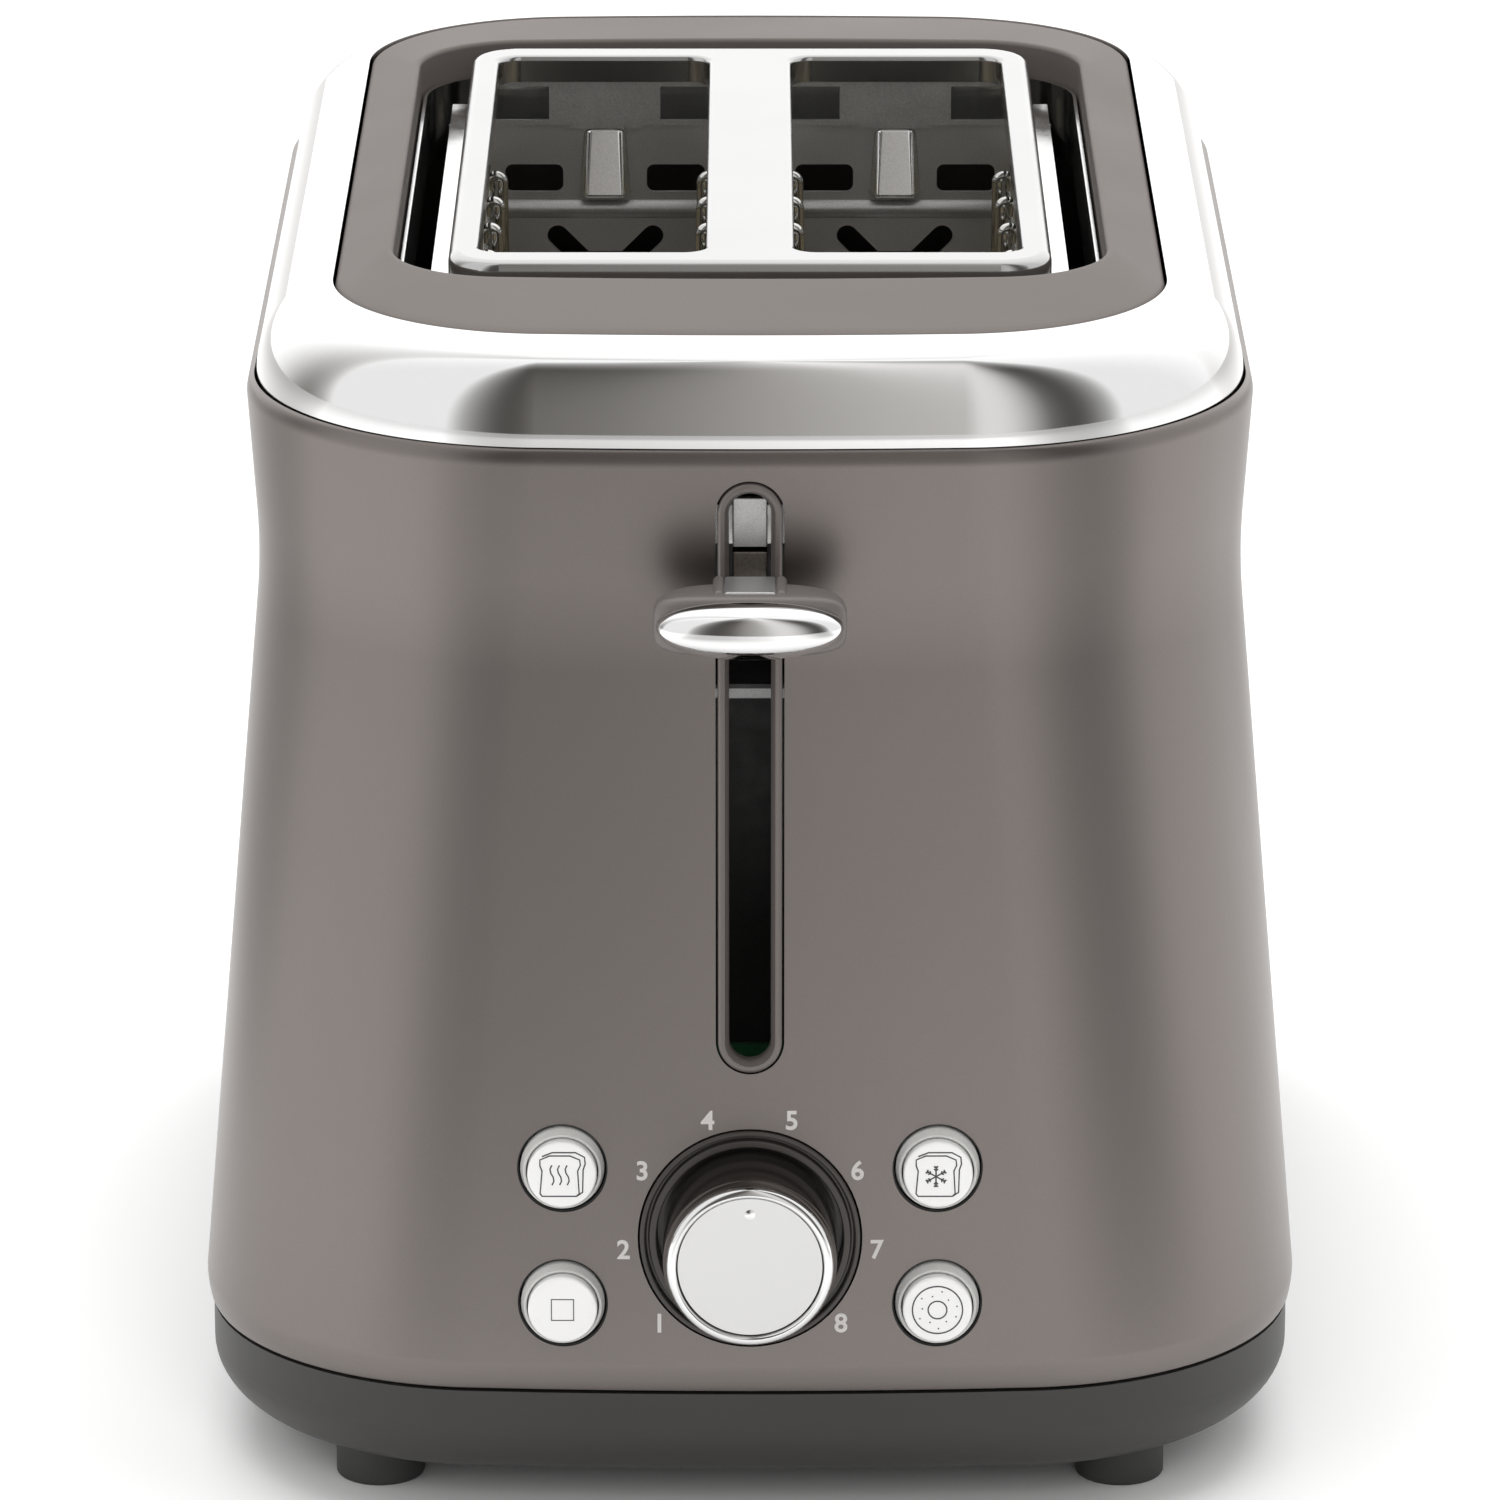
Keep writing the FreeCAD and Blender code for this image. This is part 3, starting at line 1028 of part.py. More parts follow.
def make_knob():
    rim_back = KNOB_FACE + KNOB_RIM_DEPTH
    rear = SKIN_AT_KNOB + KNOB_SINK
    skirt = rod(KNOB_RADIUS, (0, rear, KNOB_Z), (0, rim_back + 0.02, KNOB_Z))
    edge = [e for e in skirt.Edges if e.BoundBox.YMax < rim_back + 0.1]
    skirt = skirt.makeFillet(KNOB_SKIRT_EDGE, edge)
    hollow = rod(KNOB_RADIUS - KNOB_WALL, (0, rear, KNOB_Z), (0, rim_back + HUB_SEAT, KNOB_Z))
    hub = rod(SHAFT_RADIUS + HUB_WALL, (0, rear, KNOB_Z), (0, rim_back + HUB_SEAT, KNOB_Z))
    skirt = skirt.cut(hollow.cut(hub))
    shaft_front = rim_back + 2.4
    skirt = skirt.cut(rod(SHAFT_RADIUS + 0.03, (0, rear + 1, KNOB_Z), (0, shaft_front - 0.05, KNOB_Z)))
    save("knob_skirt", skirt)

    rim = tube(KNOB_RIM_RADIUS, KNOB_DISC_RADIUS, (0, rim_back, KNOB_Z), (0, KNOB_FACE, KNOB_Z))
    front = [e for e in rim.Edges if e.BoundBox.YMax < KNOB_FACE + 0.1]
    outer = [e for e in front if e.BoundBox.ZLength > 2 * KNOB_DISC_RADIUS + 1]
    rim = rim.makeFillet(KNOB_RIM_EDGE, outer)
    save("knob_rim", rim)

    disc = rod(KNOB_DISC_RADIUS - 0.02, (0, rim_back, KNOB_Z), (0, KNOB_FACE + 0.5, KNOB_Z))
    seat = rod(POINTER_RADIUS + 0.02, (0, KNOB_FACE - 1, KNOB_Z + POINTER_OFFSET),
               (0, KNOB_FACE + 1.5, KNOB_Z + POINTER_OFFSET))
    save("knob_disc", disc.cut(seat))
    pointer = rod(POINTER_RADIUS, (0, KNOB_FACE + 0.2, KNOB_Z + POINTER_OFFSET),
                  (0, KNOB_FACE + 1.48, KNOB_Z + POINTER_OFFSET))
    save("knob_pointer", pointer)

    shaft = rod(SHAFT_RADIUS, (0, BOARD_Y - 0.3, KNOB_Z), (0, shaft_front, KNOB_Z))
    save("knob_shaft", shaft)


def make_buttons():
    for name, (x, z) in BUTTONS.items():
        skin = skin_y(z)
        face = skin - BUTTON_CAP_PROUD
        ring_face = skin - BUTTON_RING_PROUD
        cap = rod(BUTTON_CAP_RADIUS, (x, face + 4.5, z), (x, face, z))
        edge = [e for e in cap.Edges if e.BoundBox.YMax < face + 0.1]
        cap = cap.makeFillet(0.5, edge)
        stem_rear = BOARD_Y - SWITCH_HEIGHT - PLUNGER_HEIGHT - SWITCH_GAP - BUTTON_TRAVEL
        stem = rod(BUTTON_STEM_RADIUS, (x, face + 4, z), (x, stem_rear, z))
        save("button_cap_" + name, cap.fuse(stem).removeSplitter())
        ring = tube(BUTTON_RING_RADIUS, BUTTON_CAP_RADIUS + 0.03, (x, ring_face + 6.0, z), (x, ring_face, z))
        edge = [e for e in ring.Edges
                if e.BoundBox.YMax < ring_face + 0.1 and e.BoundBox.ZLength > 2 * BUTTON_CAP_RADIUS + 1]
        save("button_ring_" + name, ring.makeFillet(0.6, edge))


def make_carrier():
    """Plate behind the skin that holds the button wells and the rotary control."""
    plate = box(-BOARD_HALF_WIDTH, BOARD_HALF_WIDTH, CARRIER_Y, CARRIER_Y + CARRIER_THICK,
                BOARD_LOW, BOARD_HIGH - 4)
    plate = plate.cut(rod(POT_NOSE_RADIUS + 0.3, (0, CARRIER_Y - 1, KNOB_Z), (0, CARRIER_Y + 5, KNOB_Z)))
    reach = BUTTON_HOLE_RADIUS + 2
    for x, z in BUTTONS.values():
        trim_face = loft([(shell_inset(h) + 0.4, h) for h in (z - reach, z + reach)], True)
        well = tube(BUTTON_WELL_RADIUS, BUTTON_WELL_RADIUS - BUTTON_WELL_WALL, (x, FAR_FRONT, z),
                    (x, CARRIER_Y + 0.5, z))
        plate = plate.fuse(well.common(trim_face))
        plate = plate.cut(rod(BUTTON_STEM_RADIUS + 0.6, (x, CARRIER_Y - 1, z), (x, CARRIER_Y + 5, z)))
    posts = []
    for sx in (-1, 1):
        for z in (BOARD_LOW + 4, BOARD_HIGH - 8):
            posts.append(rod(2.2, (sx * (BOARD_HALF_WIDTH - 4), CARRIER_Y + CARRIER_THICK - 0.5, z),
                             (sx * (BOARD_HALF_WIDTH - 4), BOARD_Y - 0.02, z)))
    save("button_carrier", plate.multiFuse(posts))


def make_board():
    board = box(-BOARD_HALF_WIDTH, BOARD_HALF_WIDTH, BOARD_Y, BOARD_Y + BOARD_THICK, BOARD_LOW, BOARD_HIGH)
    save("control_board", board)

    body = box(-POT_SIZE / 2, POT_SIZE / 2, BOARD_Y - 0.02 - POT_DEPTH, BOARD_Y - 0.02, KNOB_Z - POT_SIZE / 2,
               KNOB_Z + POT_SIZE / 2)
    nose = rod(POT_NOSE_RADIUS, (0, BOARD_Y - POT_DEPTH - 0.02, KNOB_Z),
               (0, CARRIER_Y - 1.5, KNOB_Z))
    pot = body.fuse(nose)
    bore = rod(SHAFT_RADIUS + SHAFT_CLEARANCE, (0, BOARD_Y - 0.02, KNOB_Z), (0, CARRIER_Y - 5, KNOB_Z))
    pot = pot.cut(bore)
    save("rotary_control", pot)

    switches = []
    half = SWITCH_SIZE / 2
    for x, z in BUTTONS.values():
        base = box(x - half, x + half, BOARD_Y - 0.02 - SWITCH_HEIGHT, BOARD_Y - 0.02, z - half, z + half)
        plunger = rod(PLUNGER_RADIUS, (x, BOARD_Y - SWITCH_HEIGHT, z),
                      (x, BOARD_Y - SWITCH_HEIGHT - PLUNGER_HEIGHT, z))
        switches.append(base.fuse(plunger))
    save("push_switches", *switches)

    back = BOARD_Y + BOARD_THICK + 0.02
    relay = box(-30, -16, back, back + 9, BOARD_LOW + 6, BOARD_LOW + 24)
    can = rod(4.0, (14, back, BOARD_LOW + 12), (14, back + 11, BOARD_LOW + 12))
    chip = box(-6, 6, back, back + 2.2, BOARD_LOW + 26, BOARD_LOW + 34)
    film = box(22, 35, back, back + 6, BOARD_LOW + 8, BOARD_LOW + 20)
    save("board_components", relay, can, chip, film)


# ---- crumb tray, cord entry, leads -------------------------------------------------------------------
def make_crumb_tray():
    x = CRUMB_HALF_WIDTH
    y0 = -END_BACK + 3
    y1 = BASE_REAR - BASE_WALL - 3.0
    outer = box(-x, x, y0, y1, CRUMB_LOW, CRUMB_HIGH)
    inner = box(-x + CRUMB_SHEET, x - CRUMB_SHEET, y0 + CRUMB_SHEET, y1 - CRUMB_SHEET,
                CRUMB_LOW + CRUMB_SHEET, CRUMB_HIGH + 1)
    save("crumb_tray", outer.cut(inner))

    h0 = y1 + 0.02
    h1 = BASE_REAR + CRUMB_HANDLE_PROUD
    tall = box(-CRUMB_HANDLE_HALF, CRUMB_HANDLE_HALF, h0, h1, CRUMB_LOW, CRUMB_HIGH)
    flap = box(-x, x, h0, h0 + 2.4, CRUMB_LOW, CRUMB_HIGH)
    grip = rod(3.2, (-CRUMB_HANDLE_HALF + 5, h1 - 2.0, CRUMB_LOW - 0.8),
               (CRUMB_HANDLE_HALF - 5, h1 - 2.0, CRUMB_LOW - 0.8))
    handle = joined([tall, flap]).cut(grip)
    save("crumb_tray_handle", handle)


def make_cord_entry():
    rear = GLAND_FACE + GLAND_FLANGE_DEPTH
    inner_end = GLAND_FACE - GLAND_LENGTH + GLAND_FLANGE_DEPTH
    barrel = rod(GLAND_RADIUS, (GLAND_X, inner_end, GLAND_Z), (GLAND_X, GLAND_FACE + 0.02, GLAND_Z))
    flange = rod(GLAND_FLANGE, (GLAND_X, GLAND_FACE + 0.02, GLAND_Z), (GLAND_X, rear, GLAND_Z))
    edge = [e for e in flange.Edges if e.BoundBox.YMin > rear - 0.1]
    flange = flange.makeFillet(0.8, edge)
    gland = joined([barrel, flange])
    bore = rod(GLAND_BORE, (GLAND_X, inner_end - 1, GLAND_Z), (GLAND_X, rear + 1, GLAND_Z))
    save("cord_gland", gland.cut(bore))

    x0 = TERMINAL_X
    body = box(x0, x0 + 8, TERMINAL_Y, TERMINAL_Y + 16, FLOOR_Z + 0.02, FLOOR_Z + 13)
    for y in (TERMINAL_Y + 4, TERMINAL_Y + 12):
        body = body.cut(rod(2.0, (x0 + 4, y, FLOOR_Z + 7), (x0 + 4, y, FLOOR_Z + 14)))
    save("terminal_block", body)


def bent_lead(points, radius, bend):
    """A wire through points, with the same bend radius at each corner."""
    edges = []
    start = Vector(*points[0])
    for i in range(1, len(points) - 1):
        here = Vector(*points[i])
        back = (start - here).normalize()
        ahead = (Vector(*points[i + 1]) - here).normalize()
        half = back.getAngle(ahead) / 2
        trim = bend / math.tan(half)
        a = here + back * trim
        b = here + ahead * trim
        centre = here + (back + ahead).normalize() * (bend / math.sin(half))
        middle = centre + (here - centre).normalize() * bend
        edges.append(Part.LineSegment(start, a).toShape())
        edges.append(Part.Arc(a, middle, b).toShape())
        start = b
    edges.append(Part.LineSegment(start, Vector(*points[-1])).toShape())
    path = Part.Wire(edges)
    first = Vector(*points[0])
    direction = Vector(*points[1]) - first
    circle = Part.Wire(Part.makeCircle(radius, first, direction))
    return path.makePipeShell([circle], True, False)


def make_leads():
    """Two insulated leads from the terminal block along the base to the control board."""
    leads = []
    for i, x in enumerate((TERMINAL_X + 2, TERMINAL_X + 6)):
        z = FLOOR_Z + 4.0 + i * 4.0
        points = [(x, TERMINAL_Y - 0.1, z), (x, BOARD_Y + 14 + i * 4, z),
                  (x, BOARD_Y + 14 + i * 4, BOARD_LOW + 4 + 6 * i),
                  (BOARD_HALF_WIDTH - 2, BOARD_Y + 14 + i * 4, BOARD_LOW + 4 + 6 * i),
                  (BOARD_HALF_WIDTH - 2, BOARD_Y + BOARD_THICK + 0.1, BOARD_LOW + 4 + 6 * i)]
        leads.append(bent_lead(points, LEAD_RADIUS, 4.0))
    save("supply_leads", *leads)


make_shell()
make_trims()
make_band()
make_ring()
make_slot_frame()
make_base()
make_end_plates()
make_side_plates()
make_hangers()
make_liner()
make_heaters()
make_guides()
make_carriage()
make_handle()
make_racks()
make_rods_and_springs()
make_magnet()
make_knob()
make_buttons()
make_carrier()
make_board()
make_crumb_tray()
make_cord_entry()
make_leads()
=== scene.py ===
"""Looks of a two-slot pop up toaster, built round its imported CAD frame."""

import logging
import math
from dataclasses import dataclass, field
from enum import Enum
from typing import Callable, Iterable, Sequence

import bmesh
import bpy
from mathutils import Matrix, Vector


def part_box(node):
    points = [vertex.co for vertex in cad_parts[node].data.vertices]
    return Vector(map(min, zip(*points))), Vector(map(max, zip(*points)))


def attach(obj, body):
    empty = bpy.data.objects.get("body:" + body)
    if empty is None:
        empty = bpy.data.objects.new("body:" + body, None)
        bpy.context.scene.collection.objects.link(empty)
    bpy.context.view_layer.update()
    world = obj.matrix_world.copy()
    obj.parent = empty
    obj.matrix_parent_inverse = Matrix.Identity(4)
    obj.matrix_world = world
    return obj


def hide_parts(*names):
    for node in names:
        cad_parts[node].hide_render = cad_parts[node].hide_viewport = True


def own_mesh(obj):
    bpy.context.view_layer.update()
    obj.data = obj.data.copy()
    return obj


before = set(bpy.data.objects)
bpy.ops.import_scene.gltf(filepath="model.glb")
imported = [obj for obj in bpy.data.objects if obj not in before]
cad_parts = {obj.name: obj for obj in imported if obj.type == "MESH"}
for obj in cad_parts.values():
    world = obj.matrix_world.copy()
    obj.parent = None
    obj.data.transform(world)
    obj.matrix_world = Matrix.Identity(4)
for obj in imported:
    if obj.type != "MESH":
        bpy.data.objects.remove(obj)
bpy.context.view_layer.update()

LOG = logging.getLogger("toaster")
MM = 0.001
FULL_TURN = 2 * math.pi
Colour = tuple[float, float, float]


# ---- finishes ----------------------------------------------------------------------------
@dataclass(frozen=True)
class Finish:
    """A procedural finish with a fine grain and slow mottling of its roughness.

    Attributes:
        name: material name.
        colour: linear base colour.
        metallic: 0 for plastics, 1 for bare metal.
        roughness: mean roughness.
        grain: size of the surface grain, in metres.
        depth: height of the grain, in metres.
        mottle: how far the roughness wanders.
        tint: how far the colour wanders.
        coat: weight of a clear coat.
        specular: strength of the surface's mirror reflection, 0.5 for most plastics.
    """

    name: str
    colour: Colour
    metallic: float = 0.0
    roughness: float = 0.5
    grain: float = 0.5 * MM
    depth: float = 0.01 * MM
    mottle: float = 0.05
    tint: float = 0.04
    coat: float = 0.0
    specular: float = 0.5

    def make(self) -> bpy.types.Material:
        """Builds the material once and returns it."""
        label = f"{self.name}_finish"
        found = bpy.data.materials.get(label)
        if found:
            return found
        material = bpy.data.materials.new(label)
        material.use_nodes = True
        nodes = material.node_tree.nodes
        shader = nodes["Principled BSDF"]
        shader.inputs["Base Color"].default_value = (*self.colour, 1)
        shader.inputs["Metallic"].default_value = self.metallic
        shader.inputs["Roughness"].default_value = self.roughness
        shader.inputs["Coat Weight"].default_value = self.coat
        shader.inputs["Coat Roughness"].default_value = 0.15
        shader.inputs["Specular IOR Level"].default_value = self.specular
        self.pattern(material, shader)
        return material

    def pattern(self, material: bpy.types.Material, shader: bpy.types.Node) -> None:
        """Adds the grain, the mottled roughness and the tint."""
        place = self.place(material)
        fine = self.noise(material, place, 1 / self.grain, 3)
        broad = self.noise(material, place, 28.0, 2)
        self.bump(material, shader, fine.outputs["Fac"], self.depth)
        self.spread(material, broad.outputs["Fac"], shader.inputs["Roughness"],
                    self.roughness - self.mottle, self.roughness + self.mottle)
        self.shade(material, fine.outputs["Fac"], shader.inputs["Base Color"], self.tint)

    def place(self, material: bpy.types.Material) -> bpy.types.NodeSocket:
        """Returns the object coordinates socket."""
        return material.node_tree.nodes.new("ShaderNodeTexCoord").outputs["Object"]

    def noise(self, material: bpy.types.Material, place: bpy.types.NodeSocket, scale: float,
              detail: float) -> bpy.types.Node:
        """Adds a noise texture.

        Args:
            material: the material to add to.
            place: coordinates socket.
            scale: noise scale, per metre.
            detail: octaves.

        Returns:
            The noise node.
        """
        node = material.node_tree.nodes.new("ShaderNodeTexNoise")
        node.inputs["Scale"].default_value = scale
        node.inputs["Detail"].default_value = detail
        material.node_tree.links.new(place, node.inputs["Vector"])
        return node

    def bump(self, material: bpy.types.Material, shader: bpy.types.Node,
             height: bpy.types.NodeSocket, depth: float) -> bpy.types.Node:
        """Feeds a height into the shader's normal and returns the bump node."""
        node = material.node_tree.nodes.new("ShaderNodeBump")
        node.inputs["Distance"].default_value = depth
        node.inputs["Strength"].default_value = 0.6
        material.node_tree.links.new(height, node.inputs["Height"])
        material.node_tree.links.new(node.outputs["Normal"], shader.inputs["Normal"])
        return node

    def spread(self, material: bpy.types.Material, source: bpy.types.NodeSocket,
               target: bpy.types.NodeSocket, low: float, high: float) -> None:
        """Maps a 0..1 source onto a range and links it to the target."""
        node = material.node_tree.nodes.new("ShaderNodeMapRange")
        node.inputs["From Min"].default_value = 0.3
        node.inputs["From Max"].default_value = 0.7
        node.inputs["To Min"].default_value = max(low, 0.01)
        node.inputs["To Max"].default_value = high
        material.node_tree.links.new(source, node.inputs["Value"])
        material.node_tree.links.new(node.outputs["Result"], target)

    def shade(self, material: bpy.types.Material, source: bpy.types.NodeSocket,
              target: bpy.types.NodeSocket, amount: float) -> None:
        """Varies the base colour by amount, lighter and darker, with the source."""
        ramp = material.node_tree.nodes.new("ShaderNodeValToRGB")
        ramp.color_ramp.elements[0].position = 0.3
        ramp.color_ramp.elements[1].position = 0.7
        ramp.color_ramp.elements[0].color = (*[c * (1 - amount) for c in self.colour], 1)
        ramp.color_ramp.elements[1].color = (*[min(1, c * (1 + amount)) for c in self.colour], 1)
        material.node_tree.links.new(source, ramp.inputs["Fac"])
        material.node_tree.links.new(ramp.outputs["Color"], target)


@dataclass(frozen=True)
class SpangledSteel(Finish):
    """Galvanised sheet: crystals of slightly different grey over a speckled grain."""

    spangle: float = 3.0 * MM

    def pattern(self, material: bpy.types.Material, shader: bpy.types.Node) -> None:
        """Adds the crystals and the speckle."""
        place = self.place(material)
        cells = material.node_tree.nodes.new("ShaderNodeTexVoronoi")
        cells.inputs["Scale"].default_value = 1 / self.spangle
        material.node_tree.links.new(place, cells.inputs["Vector"])
        speckle = self.noise(material, place, 1 / self.grain, 4)
        mix = material.node_tree.nodes.new("ShaderNodeMix")
        mix.data_type = "FLOAT"
        mix.inputs["Factor"].default_value = 0.45
        material.node_tree.links.new(speckle.outputs["Fac"], mix.inputs["A"])
        material.node_tree.links.new(cells.outputs["Distance"], mix.inputs["B"])
        self.bump(material, shader, speckle.outputs["Fac"], self.depth)
        self.spread(material, mix.outputs["Result"], shader.inputs["Roughness"],
                    self.roughness - self.mottle, self.roughness + self.mottle)
        self.shade(material, speckle.outputs["Fac"], shader.inputs["Base Color"], self.tint)


@dataclass(frozen=True)
class SpunMetal(Finish):
    """Turned metal with fine rings about an axis along Y."""

    centre: tuple[float, float, float] = (0.0, 0.0, 0.0)

    def pattern(self, material: bpy.types.Material, shader: bpy.types.Node) -> None:
        """Adds the turned rings."""
        nodes = material.node_tree.nodes
        links = material.node_tree.links
        shift = nodes.new("ShaderNodeMapping")
        shift.inputs["Location"].default_value = [-c for c in self.centre]
        links.new(self.place(material), shift.inputs["Vector"])
        rings = nodes.new("ShaderNodeTexWave")
        rings.wave_type = "RINGS"
        rings.rings_direction = "Y"
        rings.inputs["Scale"].default_value = 1 / self.grain
        rings.inputs["Distortion"].default_value = 0.4
        links.new(shift.outputs["Vector"], rings.inputs["Vector"])
        self.bump(material, shader, rings.outputs["Fac"], self.depth)
        self.spread(material, rings.outputs["Fac"], shader.inputs["Roughness"],
                    self.roughness - self.mottle, self.roughness + self.mottle)


@dataclass(frozen=True)
class FrostedLens(Finish):
    """Translucent plastic."""

    passing: float = 0.6

    def pattern(self, material: bpy.types.Material, shader: bpy.types.Node) -> None:
        """Adds the transmission to the usual grain."""
        super().pattern(material, shader)
        shader.inputs["Transmission Weight"].default_value = self.passing
        shader.inputs["IOR"].default_value = 1.45


class Kit(Enum):
    """The object's finishes, by where they are used."""

    SHELL = Finish("shell_paint", (0.205, 0.184, 0.174), 1.0, 0.33, 0.16 * MM, 0.0010 * MM, 0.01, 0.05)
    CHROME = Finish("bright_chrome", (0.80, 0.80, 0.80), 1.0, 0.045, 2 * MM, 0.0004 * MM, 0.015, 0.005)
    RING = Finish("ring_plastic", (0.128, 0.112, 0.103), 0.0, 0.55, 0.14 * MM, 0.012 * MM, 0.03, 0.10, 0.0,
                  0.25)
    HANDLE = Finish("handle_plastic", (0.165, 0.150, 0.142), 0.3, 0.42, 0.14 * MM, 0.006 * MM, 0.03, 0.06)
    FRAME = Finish("frame_steel", (0.50, 0.50, 0.495), 1.0, 0.18, 0.12 * MM, 0.002 * MM, 0.04, 0.03)
    BASE = Finish("base_plastic", (0.030, 0.029, 0.027), 0.0, 0.45, 0.12 * MM, 0.012 * MM, 0.04, 0.10)
    RUBBER = Finish("foot_rubber", (0.035, 0.035, 0.034), 0.0, 0.6, 0.2 * MM, 0.01 * MM, 0.05, 0.1)
    SHEET = SpangledSteel("galvanised_sheet", (0.62, 0.62, 0.62), 0.9, 0.36, 0.25 * MM, 0.002 * MM, 0.05,
                          0.14)
    # A darker copy of the galvanised sheet: painted shade for the plates deep inside the body.
    INNER = SpangledSteel("shaded_sheet", (0.13, 0.13, 0.13), 0.6, 0.45, 0.40 * MM, 0.004 * MM, 0.06, 0.10)
    POLISHED = SpangledSteel("polished_sheet", (0.80, 0.80, 0.79), 1.0, 0.14, 0.5 * MM, 0.001 * MM, 0.04,
                             0.05)
    WIRE = Finish("drawn_wire", (0.62, 0.62, 0.60), 1.0, 0.14, 0.4 * MM, 0.002 * MM, 0.05, 0.06)
    MICA = SpangledSteel("mica_board", (0.50, 0.43, 0.31), 0.0, 0.5, 1.4 * MM, 0.02 * MM, 0.15, 0.22)
    RIBBON = Finish("heating_ribbon", (0.30, 0.27, 0.24), 1.0, 0.4, 0.4 * MM, 0.004 * MM, 0.08, 0.15)
    KNOB_SIDE = Finish("knob_gloss", (0.085, 0.075, 0.070), 0.75, 0.10, 0.4 * MM, 0.001 * MM, 0.02, 0.02)
    KNOB_FACE = SpunMetal("knob_face", (0.62, 0.62, 0.61), 1.0, 0.26, 0.09 * MM, 0.0006 * MM, 0.05)
    BUTTON = Finish("button_silver", (0.86, 0.86, 0.85), 0.1, 0.34, 0.12 * MM, 0.001 * MM, 0.03, 0.02)
    LENS = FrostedLens("button_lens", (0.86, 0.86, 0.84), 0.0, 0.16, 0.4 * MM, 0.001 * MM, 0.03, 0.02, 0.0,
                       0.5, 0.35)
    TRIM = Finish("trim_plastic", (0.150, 0.132, 0.124), 0.3, 0.32, 0.14 * MM, 0.004 * MM, 0.03, 0.05)
    COLLAR = Finish("collar_plastic", (0.060, 0.053, 0.050), 0.3, 0.26, 0.14 * MM, 0.003 * MM, 0.03, 0.05)
    DARK = Finish("dark_moulding", (0.018, 0.018, 0.018), 0.0, 0.55, 0.3 * MM, 0.01 * MM, 0.05, 0.1)
    BOARD = Finish("board_lacquer", (0.02, 0.09, 0.035), 0.0, 0.35, 1.0 * MM, 0.01 * MM, 0.05, 0.2, 0.3)
    COPPER = Finish("copper_winding", (0.62, 0.27, 0.12), 1.0, 0.3, 0.3 * MM, 0.03 * MM, 0.08, 0.15)
    NYLON = Finish("nylon_bush", (0.62, 0.58, 0.48), 0.0, 0.5, 0.4 * MM, 0.01 * MM, 0.05, 0.05)
    PRINT = Finish("printed_mark", (0.62, 0.60, 0.58), 0.0, 0.5, 0.3 * MM, 0.001 * MM, 0.03, 0.02)
    ENGRAVED = Finish("engraved_line", (0.05, 0.05, 0.05), 0.0, 0.5, 0.3 * MM, 0.001 * MM, 0.03, 0.02)


# ---- mesh tools ----------------------------------------------------------------------------
def settle(name: str, bm: bmesh.types.BMesh, kit: Kit, body: str,
           replaces: Sequence[str] = (), sharp: float = 40.0, flip: bool = True) -> bpy.types.Object:
    """Turns a finished bmesh into a piece of the toaster.

    Args:
        name: the piece's name.
        bm: its mesh, in the row frame, freed here.
        kit: its finish.
        body: the CAD body it rides on.
        replaces: CAD nodes that it stands for.
        sharp: edges that turn more than this many degrees stay sharp.
        flip: True to make all faces point outwards.

    Returns:
        The new object.
    """
    bmesh.ops.remove_doubles(bm, verts=bm.verts, dist=0.002 * MM)
    if flip:
        bmesh.ops.recalc_face_normals(bm, faces=bm.faces)
    mesh = bpy.data.meshes.new(name)
    bm.to_mesh(mesh)
    bm.free()
    piece = bpy.data.objects.new(name, mesh)
    bpy.context.scene.collection.objects.link(piece)
    mesh.materials.append(kit.value.make())
    smooth(piece, sharp)
    adopt(piece, body, replaces)
    return piece


def smooth(piece: bpy.types.Object, sharp: float) -> None:
    """Shades a piece smooth, with sharp edges past an angle and area-weighted normals."""
    piece.data.polygons.foreach_set("use_smooth", [True] * len(piece.data.polygons))
    piece.data.set_sharp_from_angle(angle=math.radians(sharp))
    weighted = piece.modifiers.new("weighted", "WEIGHTED_NORMAL")
    weighted.keep_sharp = True


def adopt(piece: bpy.types.Object, body: str, replaces: Sequence[str] = ()) -> None:
    """Makes a piece ride on its body and hides the CAD nodes it stands for."""
    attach(piece, body)
    if replaces:
        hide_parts(*replaces)
    LOG.info("%s rides on %s", piece.name, body)


def dress(nodes: Iterable[str], kit: Kit) -> None:
    """Gives CAD nodes a finish in their own material slots."""
    for name in nodes:
        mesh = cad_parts[name].data
        if not mesh.materials:
            mesh.materials.append(kit.value.make())
        for index in range(len(mesh.materials)):
            mesh.materials[index] = kit.value.make()
        LOG.info("%s dressed in %s", name, kit.value.name)


def lathe(profile: Sequence[tuple[float, float]], centre: Vector, steps: int = 96,
          bm: bmesh.types.BMesh | None = None) -> bmesh.types.BMesh:
    """Turns a profile round an axis along Y.

    Args:
        profile: (radius, distance in front of the centre) points, in metres.
        centre: a point on the axis.
        steps: facets round the turn.
        bm: mesh to add to, or None for a new one.

    Returns:
        The mesh.
    """
    bm = bm or bmesh.new()
    verts = [bm.verts.new(centre + Vector((r, -along, 0))) for r, along in profile]
    edges = [bm.edges.new(pair) for pair in zip(verts, verts[1:])]
    bmesh.ops.spin(bm, geom=verts + edges, cent=centre, axis=(0, 1, 0), angle=FULL_TURN, steps=steps,
                   use_merge=True, use_normal_flip=False, use_duplicate=False)
    bmesh.ops.remove_doubles(bm, verts=bm.verts, dist=0.002 * MM)
    return bm


